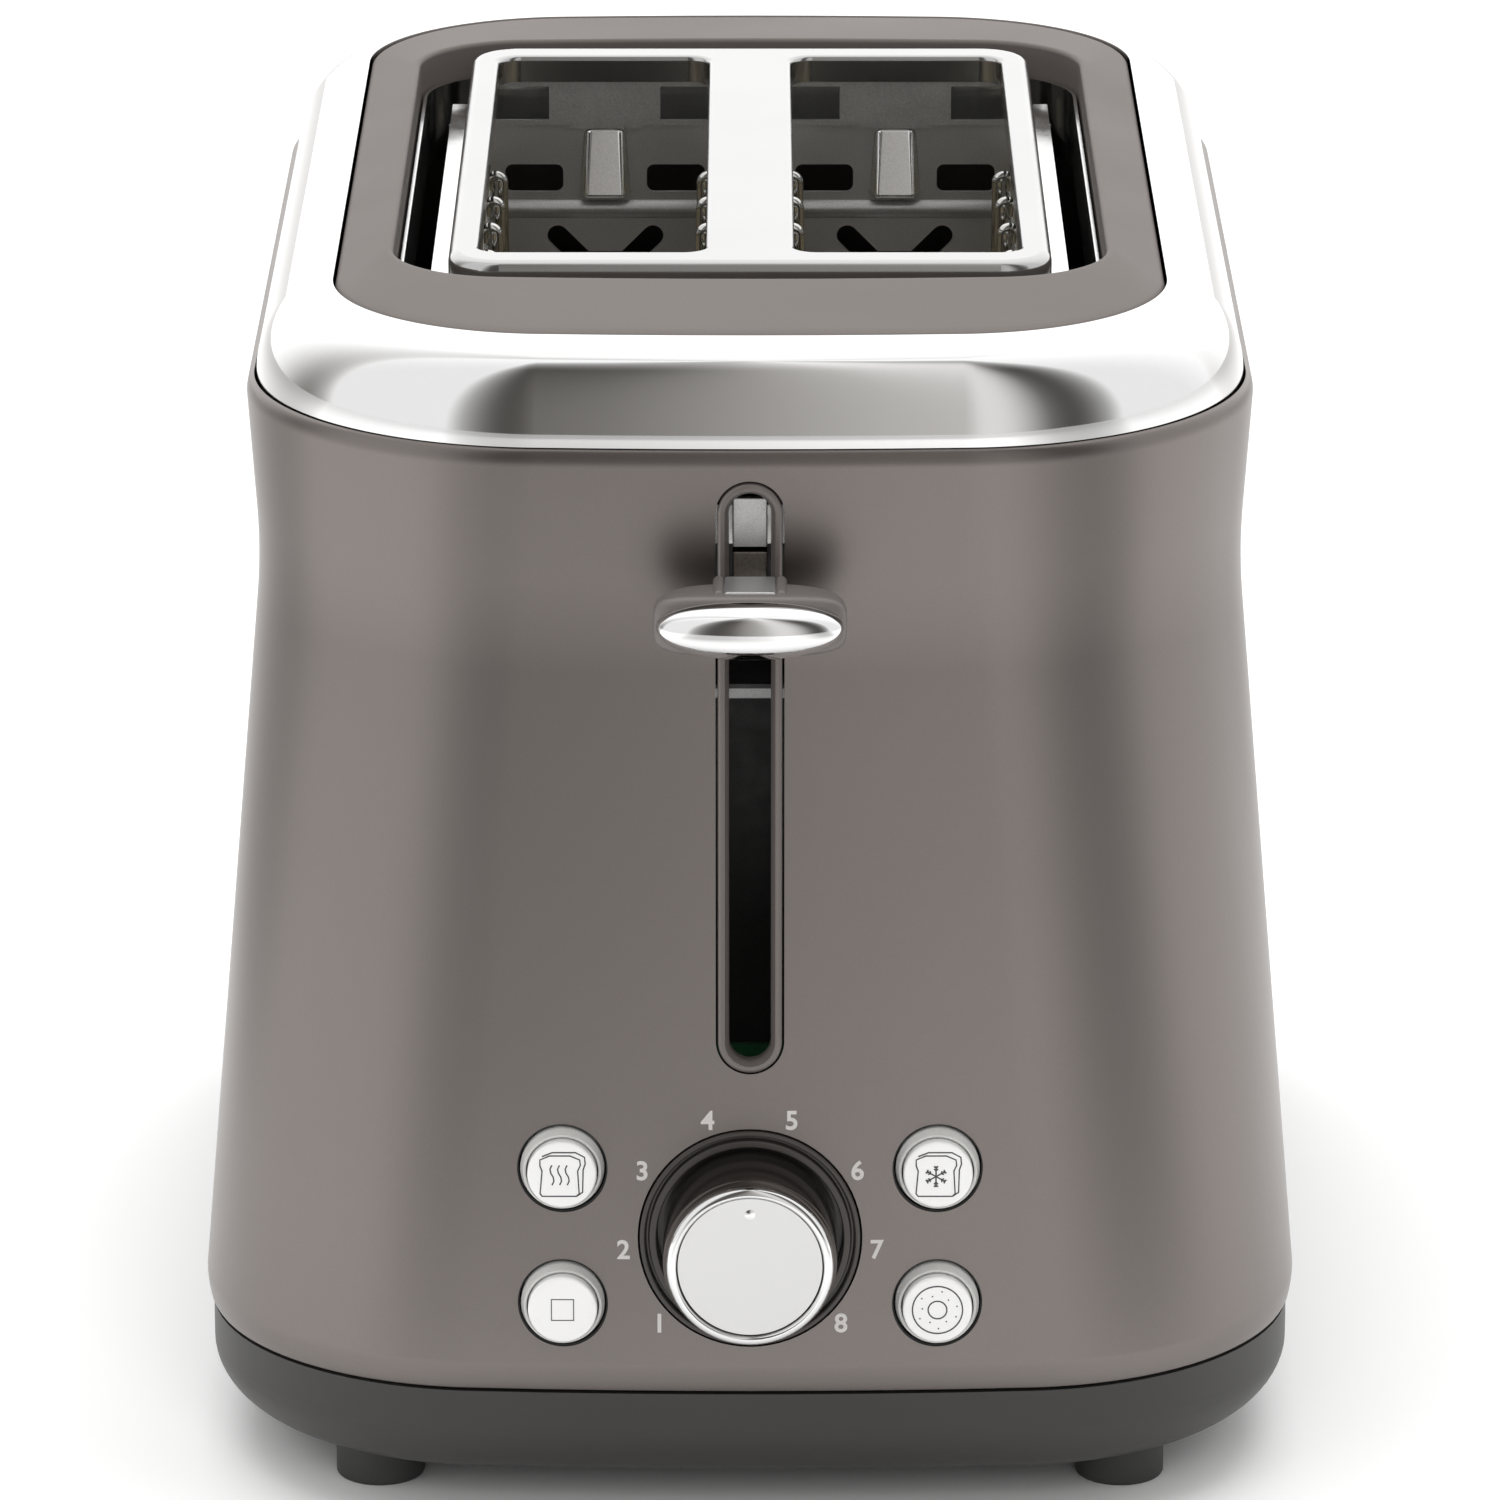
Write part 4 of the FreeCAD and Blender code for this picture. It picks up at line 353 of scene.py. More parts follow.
def rounded(start: tuple[float, float], corner: tuple[float, float], end: tuple[float, float],
            radius: float, steps: int = 5) -> list[tuple[float, float]]:
    """Points of a rounded corner between two runs of a profile."""
    a = (Vector(start) - Vector(corner)).normalized()
    b = (Vector(end) - Vector(corner)).normalized()
    half = a.angle(b) / 2
    trim = radius / math.tan(half)
    centre = Vector(corner) + (a + b).normalized() * (radius / math.sin(half))
    first = Vector(corner) + a * trim - centre
    last = Vector(corner) + b * trim - centre
    sweep = first.angle_signed(last)
    points = []
    for i in range(steps + 1):
        spoke = first.copy()
        spoke.rotate(Matrix.Rotation(-sweep * i / steps, 2))
        points.append(tuple(centre + spoke))
    return points


def chain(corners: Sequence[tuple[float, float, float]], steps: int = 5) -> list[tuple[float, float]]:
    """A profile through (x, y, radius) corners, each rounded by its own radius."""
    points: list[tuple[float, float]] = []
    for i, (x, y, radius) in enumerate(corners):
        inner = 0 < i < len(corners) - 1
        if inner and radius > 0:
            points += rounded(corners[i - 1][:2], (x, y), corners[i + 1][:2], radius, steps)
        else:
            points.append((x, y))
    return points


def cut_with(piece: bpy.types.Object, cutters: Sequence[bpy.types.Object]) -> None:
    """Cuts openings in a piece with closed cutter objects, which are removed afterwards."""
    for cutter in cutters:
        modifier = piece.modifiers.new("opening", "BOOLEAN")
        modifier.operation = "DIFFERENCE"
        modifier.solver = "EXACT"
        modifier.object = cutter
    view = bpy.context.evaluated_depsgraph_get()
    made = bpy.data.meshes.new_from_object(piece.evaluated_get(view))
    piece.modifiers.clear()
    old = piece.data
    made.name = old.name
    piece.data = made
    bpy.data.meshes.remove(old)
    for cutter in cutters:
        bpy.data.objects.remove(cutter)


def loose(bm: bmesh.types.BMesh, name: str) -> bpy.types.Object:
    """An object for a bmesh, with no finish, to be cut with or joined."""
    bmesh.ops.recalc_face_normals(bm, faces=bm.faces)
    mesh = bpy.data.meshes.new(name)
    bm.to_mesh(mesh)
    bm.free()
    piece = bpy.data.objects.new(name, mesh)
    bpy.context.scene.collection.objects.link(piece)
    return piece


# ---- the body's outline ----------------------------------------------------------------------
@dataclass
class Outline:
    """A plan outline with straight sides, bowed ends and round corners, by its normal's angle."""

    half_x: float
    half_y: float
    corner: float
    crown: float

    def point(self, turn: float, inset: float, z: float) -> Vector:
        """The outline's point whose normal points along turn, moved inwards by inset.

        Args:
            turn: angle of the normal about Z, in radians.
            inset: distance inwards.
            z: height.

        Returns:
            The point.
        """
        normal = Vector((math.cos(turn), math.sin(turn), 0))
        bow = self.half_y - self.crown
        side = self.half_x - self.corner
        centre_y = bow + math.sqrt((self.crown - self.corner) ** 2 - side ** 2)
        lean = math.atan2(side, centre_y - bow)
        away = abs(math.atan2(normal.x, abs(normal.y)))
        up = 1 if normal.y >= 0 else -1
        right = 1 if normal.x >= 0 else -1
        if away < lean:
            base = Vector((0, up * bow, 0)) + normal * self.crown
        else:
            base = Vector((right * side, up * centre_y, 0)) + normal * self.corner
        base -= normal * inset
        base.z = z
        return base


@dataclass
class Station:
    """One level of a swept wall: an outline, how far inside it, and the height."""

    outline: Outline
    inset: float
    z: float


def sweep(stations: Sequence[Station], closed: bool = False, facets: int = 360) -> bmesh.types.BMesh:
    """Sweeps a ring of vertices through stations.

    Args:
        stations: levels in order along the section.
        closed: True to join the last level to the first.
        facets: vertices round the outline.

    Returns:
        The wall's mesh.
    """
    bm = bmesh.new()
    turn = bm.verts.layers.float.new("turn")
    bmesh.ops.create_circle(bm, cap_ends=False, radius=1.0, segments=facets)
    for vert in bm.verts:
        vert[turn] = math.atan2(vert.co.y, vert.co.x)
        vert.co = stations[0].outline.point(vert[turn], stations[0].inset, stations[0].z)
    first = list(bm.edges)
    edges = first
    for station in stations[1:]:
        made = bmesh.ops.extrude_edge_only(bm, edges=edges)
        fresh = {g for g in made["geom"] if isinstance(g, bmesh.types.BMVert)}
        edges = [g for g in made["geom"] if isinstance(g, bmesh.types.BMEdge)
                 and g.verts[0] in fresh and g.verts[1] in fresh]
        for vert in fresh:
            vert.co = station.outline.point(vert[turn], station.inset, station.z)
    if closed:
        bmesh.ops.bridge_loops(bm, edges=first + edges)
    return bm


@dataclass
class BodyForm:
    """The leaning, waisted form that the shell, the trims and the printing follow."""

    half_x: float
    half_y: float
    low: float
    rim: float
    corner: float = 51 * MM
    rim_corner: float = 62 * MM
    crown: float = 700 * MM
    tuck: float = 0.8 * MM
    tuck_height: float = 5.5 * MM
    taper: float = 0.0853
    flare: float = 0.075
    waist: float = 31 * MM
    blend: float = 16 * MM
    lip: float = 3 * MM
    lip_turn: float = 1.3 * MM

    def at(self, z: float) -> Outline:
        """The widest line's outline with the corners of height z."""
        wide = self.low + self.tuck_height
        part = (z - wide) / (self.rim - self.lip - wide)
        part = max(0.0, min(1.0, part))
        return Outline(self.half_x, self.half_y, self.corner + part * (self.rim_corner - self.corner),
                       self.crown)

    def inset(self, z: float) -> float:
        """How far the skin stands inside the widest line, at height z."""
        wide = self.low + self.tuck_height
        start = self.rim - self.waist - self.blend / 2
        if z < wide:
            return self.tuck * ((wide - z) / self.tuck_height) ** 2
        if z < start:
            return self.taper * (z - wide)
        rise = min(z - start, self.blend)
        bend = (self.taper + self.flare) / (2 * self.blend)
        inset = self.taper * (start - wide) + self.taper * rise - bend * rise ** 2
        return inset - self.flare * max(0.0, z - start - self.blend)

    def skin(self, x: float, z: float) -> float:
        """Y of the front skin at a place near the middle of the front."""
        crown = self.crown - self.inset(z)
        front = self.half_y - self.inset(z)
        return -(front - crown + math.sqrt(crown ** 2 - x ** 2))

    def levels(self, low: float, high: float, step: float) -> list[float]:
        """Heights from low to high, about a step apart."""
        count = max(1, round((high - low) / step))
        return [low + (high - low) * i / count for i in range(count + 1)]


def body_form() -> BodyForm:
    """Reads the body's form from the CAD shell."""
    low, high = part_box("body_shell")
    return BodyForm(high.x, high.y, low.z, high.z)


# ---- sub-assemblies ----------------------------------------------------------------------------
@dataclass
class Shell:
    """The painted shell with its openings, its rolled rim and the trims in its front."""

    form: BodyForm
    wall: float = 1.2 * MM
    gap: float = 0.35 * MM
    trim_half: float = 5.5 * MM
    trim_opening: float = 3.55 * MM
    trim_proud: float = 0.75 * MM
    collar: float = 18.9 * MM
    collar_opening: float = 16.0 * MM
    hole: float = 7.75 * MM

    def build(self) -> None:
        """Builds the shell and its front trims."""
        self.skin()
        self.lever_trim()
        self.knob_collar()

    def stations(self) -> list[Station]:
        """The shell's section: outer skin upwards, over the lip and down inside."""
        form = self.form
        top = form.rim - form.lip
        start = form.rim - form.waist - form.blend / 2
        heights = form.levels(form.low + 0.8 * MM, form.low + form.tuck_height, 1.2 * MM)
        heights += form.levels(form.low + form.tuck_height, start, 9 * MM)[1:]
        heights += form.levels(start, start + form.blend, 1.6 * MM)[1:]
        heights += form.levels(start + form.blend, top, 6 * MM)[1:]
        levels = [Station(form.at(form.low), form.inset(form.low) + 0.7 * MM, form.low)]
        levels.append(Station(form.at(form.low), form.inset(form.low) + 0.2 * MM, form.low + 0.15 * MM))
        levels += [Station(form.at(z), form.inset(z), z) for z in heights]
        edge = form.inset(top)
        for step in range(1, 7):
            angle = math.radians(15 * step)
            levels.append(Station(form.at(top), edge + form.lip_turn * (1 - math.cos(angle)),
                                  top + form.lip * math.sin(angle)))
        levels.append(Station(form.at(top), edge + form.lip_turn + 0.1 * MM, form.rim - 1.5 * MM))
        inner = [z for z in heights[::3]][::-1]
        levels += [Station(form.at(z), form.inset(z) + self.wall, z) for z in inner if z < top]
        return levels

    def skin(self) -> None:
        """Builds the painted skin and cuts its openings."""
        bm = sweep(self.stations(), closed=True)
        shell = settle("shell_skin", bm, Kit.SHELL, "housing", ["body_shell"])
        shell.modifiers.clear()
        low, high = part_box("lever_slot_trim")
        cutters = [self.slot_cutter(self.trim_half + self.gap, low.z - self.gap, high.z + self.gap)]
        for node, radius in self.round_openings():
            box_low, box_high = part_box(node)
            middle = (box_low + box_high) / 2
            cutters.append(self.round_cutter(middle.x, middle.z, radius))
        cut_with(shell, cutters)
        smooth(shell, 30)

    def round_openings(self) -> list[tuple[str, float]]:
        """The nodes that stand in round openings, with each opening's radius."""
        openings = [("knob_collar", self.collar + self.gap)]
        openings += [(f"button_cap_{name}", self.hole) for name in ButtonSet.NAMES]
        return openings

    def slot_cutter(self, half: float, low: float, high: float) -> bpy.types.Object:
        """A long rounded cutter for the lever's slot."""
        bm = racetrack(half, low, high, 24)
        top = bmesh.ops.extrude_edge_only(bm, edges=list(bm.edges))["geom"]
        for vert in [g for g in top if isinstance(g, bmesh.types.BMVert)]:
            vert.co.y = -self.form.half_y - 20 * MM
        for vert in bm.verts:
            if vert.co.y == 0:
                vert.co.y = -self.form.half_y + 40 * MM
        bmesh.ops.holes_fill(bm, edges=bm.edges)
        return loose(bm, "slot_cutter")

    def round_cutter(self, x: float, z: float, radius: float) -> bpy.types.Object:
        """A round cutter along Y that flares a little at the skin."""
        skin = self.form.skin(x, z)
        centre = Vector((x, skin, z))
        profile = [(0, -30 * MM), (radius, -30 * MM), (radius, 20 * MM), (0, 20 * MM)]
        return loose(lathe(profile, centre, 72), "round_cutter")

    def lever_trim(self) -> None:
        """The rounded trim round the lever's slot, following the skin."""
        low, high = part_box("lever_slot_trim")
        section = [(self.trim_half, -1.8 * MM), (self.trim_half, 0.15 * MM),
                   (self.trim_half - 0.18 * MM, 0.5 * MM), (self.trim_half - 0.6 * MM, self.trim_proud),
                   (self.trim_half - 1.2 * MM, self.trim_proud - 0.02 * MM),
                   (self.trim_opening + 0.45 * MM, 0.15 * MM), (self.trim_opening + 0.1 * MM, -0.35 * MM),
                   (self.trim_opening, -1.0 * MM), (self.trim_opening, -2.4 * MM)]
        bm = bmesh.new()
        rings = []
        for half, proud in section:
            inset = self.trim_half - half
            ring = racetrack(half, low.z + inset, high.z - inset, 20, 60)
            mesh = bpy.data.meshes.new("ring")
            for vert in ring.verts:
                vert.co.y = self.form.skin(vert.co.x, vert.co.z) - proud
            ring.to_mesh(mesh)
            ring.free()
            before = set(bm.edges)
            bm.from_mesh(mesh)
            bpy.data.meshes.remove(mesh)
            rings.append([e for e in bm.edges if e not in before])
        for one, two in zip(rings, rings[1:]):
            bmesh.ops.bridge_loops(bm, edges=one + two)
        bmesh.ops.bridge_loops(bm, edges=rings[-1] + rings[0])
        settle("lever_trim", bm, Kit.TRIM, "housing", ["lever_slot_trim"])

    def knob_collar(self) -> None:
        """The collar round the knob, with its outer step and its deep inner wall."""
        low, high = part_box("knob_collar")
        middle = (low + high) / 2
        centre = Vector((0, self.form.skin(0, middle.z), middle.z))
        outer, inner = self.collar, self.collar_opening
        corners = [(outer, -5.5 * MM, 0), (outer, 0.35 * MM, 0.3 * MM),
                   (outer - 0.9 * MM, 0.35 * MM, 0.3 * MM),
                   (outer - 1.1 * MM, -0.9 * MM, 0.1 * MM), (outer - 1.5 * MM, -0.9 * MM, 0.1 * MM),
                   (outer - 1.7 * MM, 0.25 * MM, 0.25 * MM), (inner, 0.25 * MM, 0.25 * MM),
                   (inner, -4.6 * MM, 0.2 * MM), (5.2 * MM, -4.6 * MM, 0), (5.2 * MM, -5.5 * MM, 0)]
        bm = lathe(chain(corners) + [(outer, -5.5 * MM)], centre, 128)
        for vert in bm.verts:
            lean = self.form.skin(vert.co.x, vert.co.z) - self.form.skin(0, middle.z)
            if vert.co.y < centre.y + 3 * MM:
                vert.co.y += lean
        settle("knob_collar_trim", bm, Kit.COLLAR, "housing", ["knob_collar"])


def racetrack(half: float, low: float, high: float, arc: int, rows: int = 1) -> bmesh.types.BMesh:
    """A closed slot-shaped loop in the XZ plane.

    Args:
        half: half its width.
        low: its lowest height.
        high: its highest height.
        arc: facets of each round end.
        rows: pieces that each straight side is divided into.

    Returns:
        The loop's mesh, at Y 0.
    """
    bm = bmesh.new()
    upright = Matrix.Rotation(math.pi / 2, 4, "X")
    bmesh.ops.create_circle(bm, cap_ends=False, radius=half, segments=2 * arc,
                            matrix=upright @ Matrix.Rotation(math.pi / (2 * arc), 4, "Z"))
    for vert in bm.verts:
        vert.co.y = 0.0
        vert.co.z += (high - half) if vert.co.z > 0 else (low + half)
    tall = max(bm.edges, key=lambda e: e.calc_length()).calc_length() * 0.5
    sides = [e for e in bm.edges if e.calc_length() > tall]
    if rows > 1:
        bmesh.ops.subdivide_edges(bm, edges=sides, cuts=rows - 1)
    return bm


@dataclass
class TopBand:
    """The chrome band that rolls from the rim up to the ring."""

    form: BodyForm
    gap: float = 0.4 * MM
    width: float = 13.4 * MM
    wall: float = 0.9 * MM

    def build(self) -> None:
        """Builds the band as one rolled sheet with its edges turned in."""
        low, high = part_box("chrome_band")
        outline = self.form.at(self.form.rim)
        edge = outline.half_x - high.x
        rise = high.z - self.form.rim
        levels = [Station(outline, edge + self.wall, low.z), Station(outline, edge, low.z)]
        levels.append(Station(outline, edge, self.form.rim - 0.5 * MM))
        for step in range(0, 25):
            angle = math.radians(90 * step / 24)
            levels.append(Station(outline, edge + self.width * (1 - math.cos(angle)),
                                  self.form.rim + rise * math.sin(angle)))
        inside = edge + self.width
        levels.append(Station(outline, inside + 0.05 * MM, high.z - 0.3 * MM))
        levels.append(Station(outline, inside - 0.1 * MM, high.z - 3 * MM))
        for step in (20, 14, 8, 0):
            angle = math.radians(90 * step / 24)
            levels.append(Station(outline,
                                  edge + self.wall + (self.width - self.wall) * (1 - math.cos(angle)),
                                  self.form.rim + (rise - 3.2 * MM) * math.sin(angle)))
        settle("chrome_band_skin", sweep(levels, closed=True), Kit.CHROME, "housing",
               ["chrome_band"], 50)


@dataclass
class TopRing:
    """The matt ring between the band and the slot frame."""

    form: BodyForm
    opening_corner: float = 20 * MM
    lip: float = 1.3 * MM
    edge_drop: float = 2.8 * MM
    inner_drop: float = 0.5 * MM

    def build(self) -> None:
        """Builds the ring: skirt, rolled edge, sloping top and inner wall."""
        low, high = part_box("top_ring")
        around = self.form.at(self.form.rim)
        outer = Outline(high.x, high.y, around.corner - (around.half_x - high.x), around.crown)
        frame_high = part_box("slot_frame")[1]
        opening = Outline(frame_high.x + 9.6 * MM, frame_high.y + 8.6 * MM, self.opening_corner,
                          around.crown)
        edge = frame_high.z - self.edge_drop
        top = frame_high.z - self.inner_drop
        levels = [Station(outer, 1.5 * MM, low.z), Station(outer, 0, low.z),
                  Station(outer, 0, edge - self.lip)]
        for step in range(1, 7):
            angle = math.radians(15 * step)
            levels.append(Station(outer, self.lip * (1 - math.cos(angle)),
                                  edge - self.lip + self.lip * math.sin(angle)))
        levels.append(Station(outer, self.lip + 1.5 * MM, edge + 0.35 * MM))
        levels.append(Station(opening, -1.6 * MM, top - 0.1 * MM))
        for step in range(0, 5):
            angle = math.radians(22.5 * step)
            levels.append(Station(opening, -0.8 * MM * (1 - math.sin(angle)),
                                  top - 0.8 * MM * (1 - math.cos(angle))))
        levels.append(Station(opening, 0, low.z + 0.2 * MM))
        levels.append(Station(opening, -1.6 * MM, low.z + 0.2 * MM))
        levels.append(Station(opening, -1.6 * MM, edge - 2.0 * MM))
        levels.append(Station(outer, 1.6 * MM, edge - 2.2 * MM))
        settle("top_ring_skin", sweep(levels, closed=True), Kit.RING, "housing",
               ["top_ring"], 45)


@dataclass
class Ramps:
    """The bright faces of the pressed ramps at the rear ends of the slots."""

    top_drop: float = 14.3 * MM
    bottom_drop: float = 26.7 * MM
    top_half: float = 4.1 * MM
    bottom_half: float = 5.0 * MM
    top_reach: float = 0.9 * MM
    reach: float = 4.6 * MM
    taper: float = 0.74
    slot_x: float = 27.425 * MM

    def build(self) -> None:
        """Builds one tapered face in front of each ramp."""
        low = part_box("rear_end_plate")[0]
        frame_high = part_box("slot_frame")[1]
        face = low.y + self.reach - 0.2 * MM
        for side, name in ((-1, "left"), (1, "right")):
            bm = bmesh.new()
            bmesh.ops.create_cube(bm, size=2.0)
            for vert in bm.verts:
                upper = vert.co.z > 0
                half = self.top_half if upper else self.bottom_half
                reach = self.top_reach if upper else self.reach
                front = vert.co.y < 0
                vert.co = Vector((side * self.slot_x + math.copysign(half * (self.taper if front else 1.0),
                                                                     vert.co.x),
                                  face - reach - 0.15 * MM if front else face - 0.05 * MM,
                                  frame_high.z - (self.top_drop if upper else self.bottom_drop)))
            bmesh.ops.bevel(bm, geom=bm.edges[:], offset=0.7 * MM, offset_type="OFFSET", affect="EDGES",
                            segments=4, profile=0.5, material=-1)
            settle(f"ramp_face_{name}", bm, Kit.POLISHED, "housing")


@dataclass
class Lever:
    """The lever's handle and its chrome cap."""

    form: BodyForm
    lift: float = 0.8 * MM
    thicken: float = 0.4 * MM
    cap_extra: float = 1.1 * MM
    tongue: tuple[float, float, float] = (5.9 * MM, 1.5 * MM, 8.6 * MM)
    tongue_rise: float = 8.5 * MM
    tongue_behind: float = 4.0 * MM
    cap_dip: float = 0.6 * MM
    shoulder: float = 1.9 * MM
    shoulder_rise: float = 0.5 * MM
    stem_half: float = 4.3 * MM
    stem_reach: float = 10 * MM
    stem_depth: float = 4 * MM
    stem_rise: float = 0.3 * MM

    def build(self) -> None:
        """Builds the handle, its cap, its shoulders and its stem."""
        low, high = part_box("lever_handle")
        cap_low, cap_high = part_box("handle_cap")
        middle = (low + high) / 2 + Vector((0, 0, self.lift))
        half = (high - low) / 2 + Vector((0, 0, self.thicken))
        back = high.y
        seam = cap_high.y - 0.8 * MM
        body = pebble(Vector((0, seam + 2.2 * MM, middle.z)), Vector((half.x, 0, half.z)),
                      front=3.3 * MM, rear=back - seam - 2.2 * MM, plan=2.7, side=4.5)
        settle("handle_body", body, Kit.HANDLE, "carriage", ["lever_handle"])
        cap_half = (cap_high - cap_low) / 2
        cap = pebble(Vector((0, seam + 0.4 * MM, middle.z)),
                     Vector((cap_half.x + self.cap_extra, 0, cap_half.z + self.cap_extra)),
                     front=seam + 0.4 * MM - cap_low.y, rear=1.2 * MM, plan=2.2, side=2.05)
        for vert in cap.verts:
            if vert.co.z > middle.z:
                across = vert.co.x / cap_half.x
                vert.co.z -= self.cap_dip * max(0.0, 1 - across ** 2) * (vert.co.z - middle.z) / cap_half.z
        settle("handle_chrome", cap, Kit.CHROME, "carriage", ["handle_cap"])
        self.shoulders(middle.z, half.z, back)
        self.stem(middle.z + half.z, back)
        self.tongues(self.form, (low.z + high.z) / 2)

    def shoulders(self, z: float, half: float, back: float) -> None:
        """Two rounded shoulders of the handle, either side of the stem."""
        bm = bmesh.new()
        for side in (-1, 1):
            made = bmesh.ops.create_cube(bm, size=1.0)["verts"]
            bmesh.ops.scale(bm, vec=(self.shoulder, self.stem_reach, 2 * half), verts=made)
            bmesh.ops.translate(bm, vec=(side * (self.stem_half + self.shoulder / 2),
                                         back - self.stem_reach / 2,
                                         z + self.shoulder_rise), verts=made)
        bmesh.ops.bevel(bm, geom=bm.edges[:], offset=0.9 * MM, offset_type="OFFSET", affect="EDGES",
                        segments=4, profile=0.5, material=-1)
        settle("handle_shoulders", bm, Kit.HANDLE, "carriage")

    def stem(self, top: float, back: float) -> None:
        """The polished stem between the shoulders."""
        bm = bmesh.new()
        made = bmesh.ops.create_cube(bm, size=1.0)["verts"]
        bmesh.ops.scale(bm, vec=(2 * self.stem_half, self.stem_reach, self.stem_depth), verts=made)
        bmesh.ops.translate(bm, vec=(0, back - self.stem_reach / 2,
                                     top + self.stem_rise - self.stem_depth / 2),
                            verts=made)
        bmesh.ops.bevel(bm, geom=bm.edges[:], offset=0.5 * MM, offset_type="OFFSET", affect="EDGES",
                        segments=3, profile=0.5, material=-1)
        settle("handle_stem", bm, Kit.SHEET, "carriage")

    def tongues(self, form: BodyForm, z: float) -> None:
        """The bright tongue above the arm and the tan plate under it, behind the slot."""
        width, thick, tall = self.tongue
        for name, kit, base, height in (("arm_tongue", Kit.SHEET, z + self.tongue_rise, tall),
                                        ("arm_insulator", Kit.RIBBON, z + self.tongue_rise - tall,
                                         tall - 0.8 * MM)):
            bm = bmesh.new()
            made = bmesh.ops.create_cube(bm, size=1.0)["verts"]
            bmesh.ops.scale(bm, vec=(width, thick, height), verts=made)
            behind = form.skin(0, z) + self.tongue_behind
            bmesh.ops.translate(bm, vec=(0, behind, base + height / 2), verts=made)
            bmesh.ops.bevel(bm, geom=bm.edges[:], offset=0.3 * MM, offset_type="OFFSET", affect="EDGES",
                            segments=2, profile=0.5, material=-1)
            settle(name, bm, kit, "carriage")


def pebble(centre: Vector, half: Vector, front: float, rear: float, plan: float,
           side: float) -> bmesh.types.BMesh:
    """A rounded block from a sphere, squarer the higher its exponents.

    Args:
        centre: its middle.
        half: half sizes along X and Z.
        front: reach towards -Y.
        rear: reach towards +Y.
        plan: exponent of its plan outline.
        side: exponent of its upright section.

    Returns:
        The mesh.
    """
    bm = bmesh.new()
    bmesh.ops.create_uvsphere(bm, u_segments=96, v_segments=48, radius=1.0)

    def squared(value: float, power: float) -> float:
        """A sine or cosine pushed towards a square outline."""
        return math.copysign(abs(value) ** (2 / power), value)

    for vert in bm.verts:
        turn = math.atan2(vert.co.y, vert.co.x)
        rise = math.asin(max(-1.0, min(1.0, vert.co.z)))
        across = squared(math.cos(rise), side)
        y = across * squared(math.sin(turn), plan)
        reach = rear if y > 0 else front
        vert.co = centre + Vector((half.x * across * squared(math.cos(turn), plan), reach * y,
                                   half.z * squared(math.sin(rise), side)))
    return bm


@dataclass
class Knob:
    """The browning knob: glossy side, bright rim, spun face and pointer."""

    steps: int = 128
    face_sink: float = 0.35 * MM
    dish: float = 0.25 * MM

    def build(self) -> None:
        """Builds the knob's three turned pieces and its pointer."""
        low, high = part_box("knob_skirt")
        rim_low, rim_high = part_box("knob_rim")
        disc_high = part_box("knob_disc")[1]
        centre = Vector((0, 0, (low.z + high.z) / 2))
        radius = high.x
        rear, seam, face = -high.y, -rim_high.y, -rim_low.y
        skirt = chain([(radius - 1.6 * MM, rear, 0), (radius, rear, 0.3 * MM),
                       (radius, seam - 0.5 * MM, 0.4 * MM),
                       (radius - 0.8 * MM, seam, 0), (6 * MM, seam - 0.1 * MM, 0), (6 * MM, rear, 0)])
        skirt.append(skirt[0])
        settle("knob_side", lathe(skirt, centre, self.steps), Kit.KNOB_SIDE, "knob",
               ["knob_skirt"])
        outer = rim_high.x
        inner = disc_high.x
        rim = chain([(inner - 0.3 * MM, seam, 0), (outer - 0.15 * MM, seam, 0.3 * MM),
                     (outer, face, 1.25 * MM), (inner + 0.15 * MM, face, 0.55 * MM),
                     (inner - 0.05 * MM, face - 1.4 * MM, 0)], 8)
        rim.append(rim[0])
        settle("knob_bright_rim", lathe(rim, centre, self.steps), Kit.CHROME, "knob",
               ["knob_rim"])
        sink = face - self.face_sink - 0.45 * MM
        disc = [(0, sink - self.dish)]
        for step in range(1, 9):
            part = step / 8
            disc.append((part * (inner - 0.2 * MM), sink - self.dish * (1 - part ** 2)))
        disc += [(inner - 0.04 * MM, sink - 0.2 * MM), (inner - 0.04 * MM, sink - 1.0 * MM),
                 (0, sink - 1.0 * MM)]
        settle("knob_spun_face", lathe(disc, centre, self.steps), Kit.KNOB_FACE, "knob",
               ["knob_disc"])
        self.pointer(sink)

    def pointer(self, sink: float) -> None:
        """The small bright dimple that points at the numbers."""
        low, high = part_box("knob_pointer")
        middle = (low + high) / 2
        radius = high.x
        profile = [(0, sink + 0.15 * MM), (radius * 0.55, sink + 0.12 * MM),
                   (radius * 0.8, sink + 0.02 * MM),
                   (radius, sink - 0.02 * MM), (radius * 1.1, sink - 0.2 * MM),
                   (radius * 1.1, sink - 0.6 * MM),
                   (0, sink - 0.6 * MM)]
        settle("pointer_dot", lathe(profile, Vector((0, 0, middle.z)) + Vector((middle.x, 0, 0)), 40),
               Kit.CHROME,
               "knob", ["knob_pointer"])


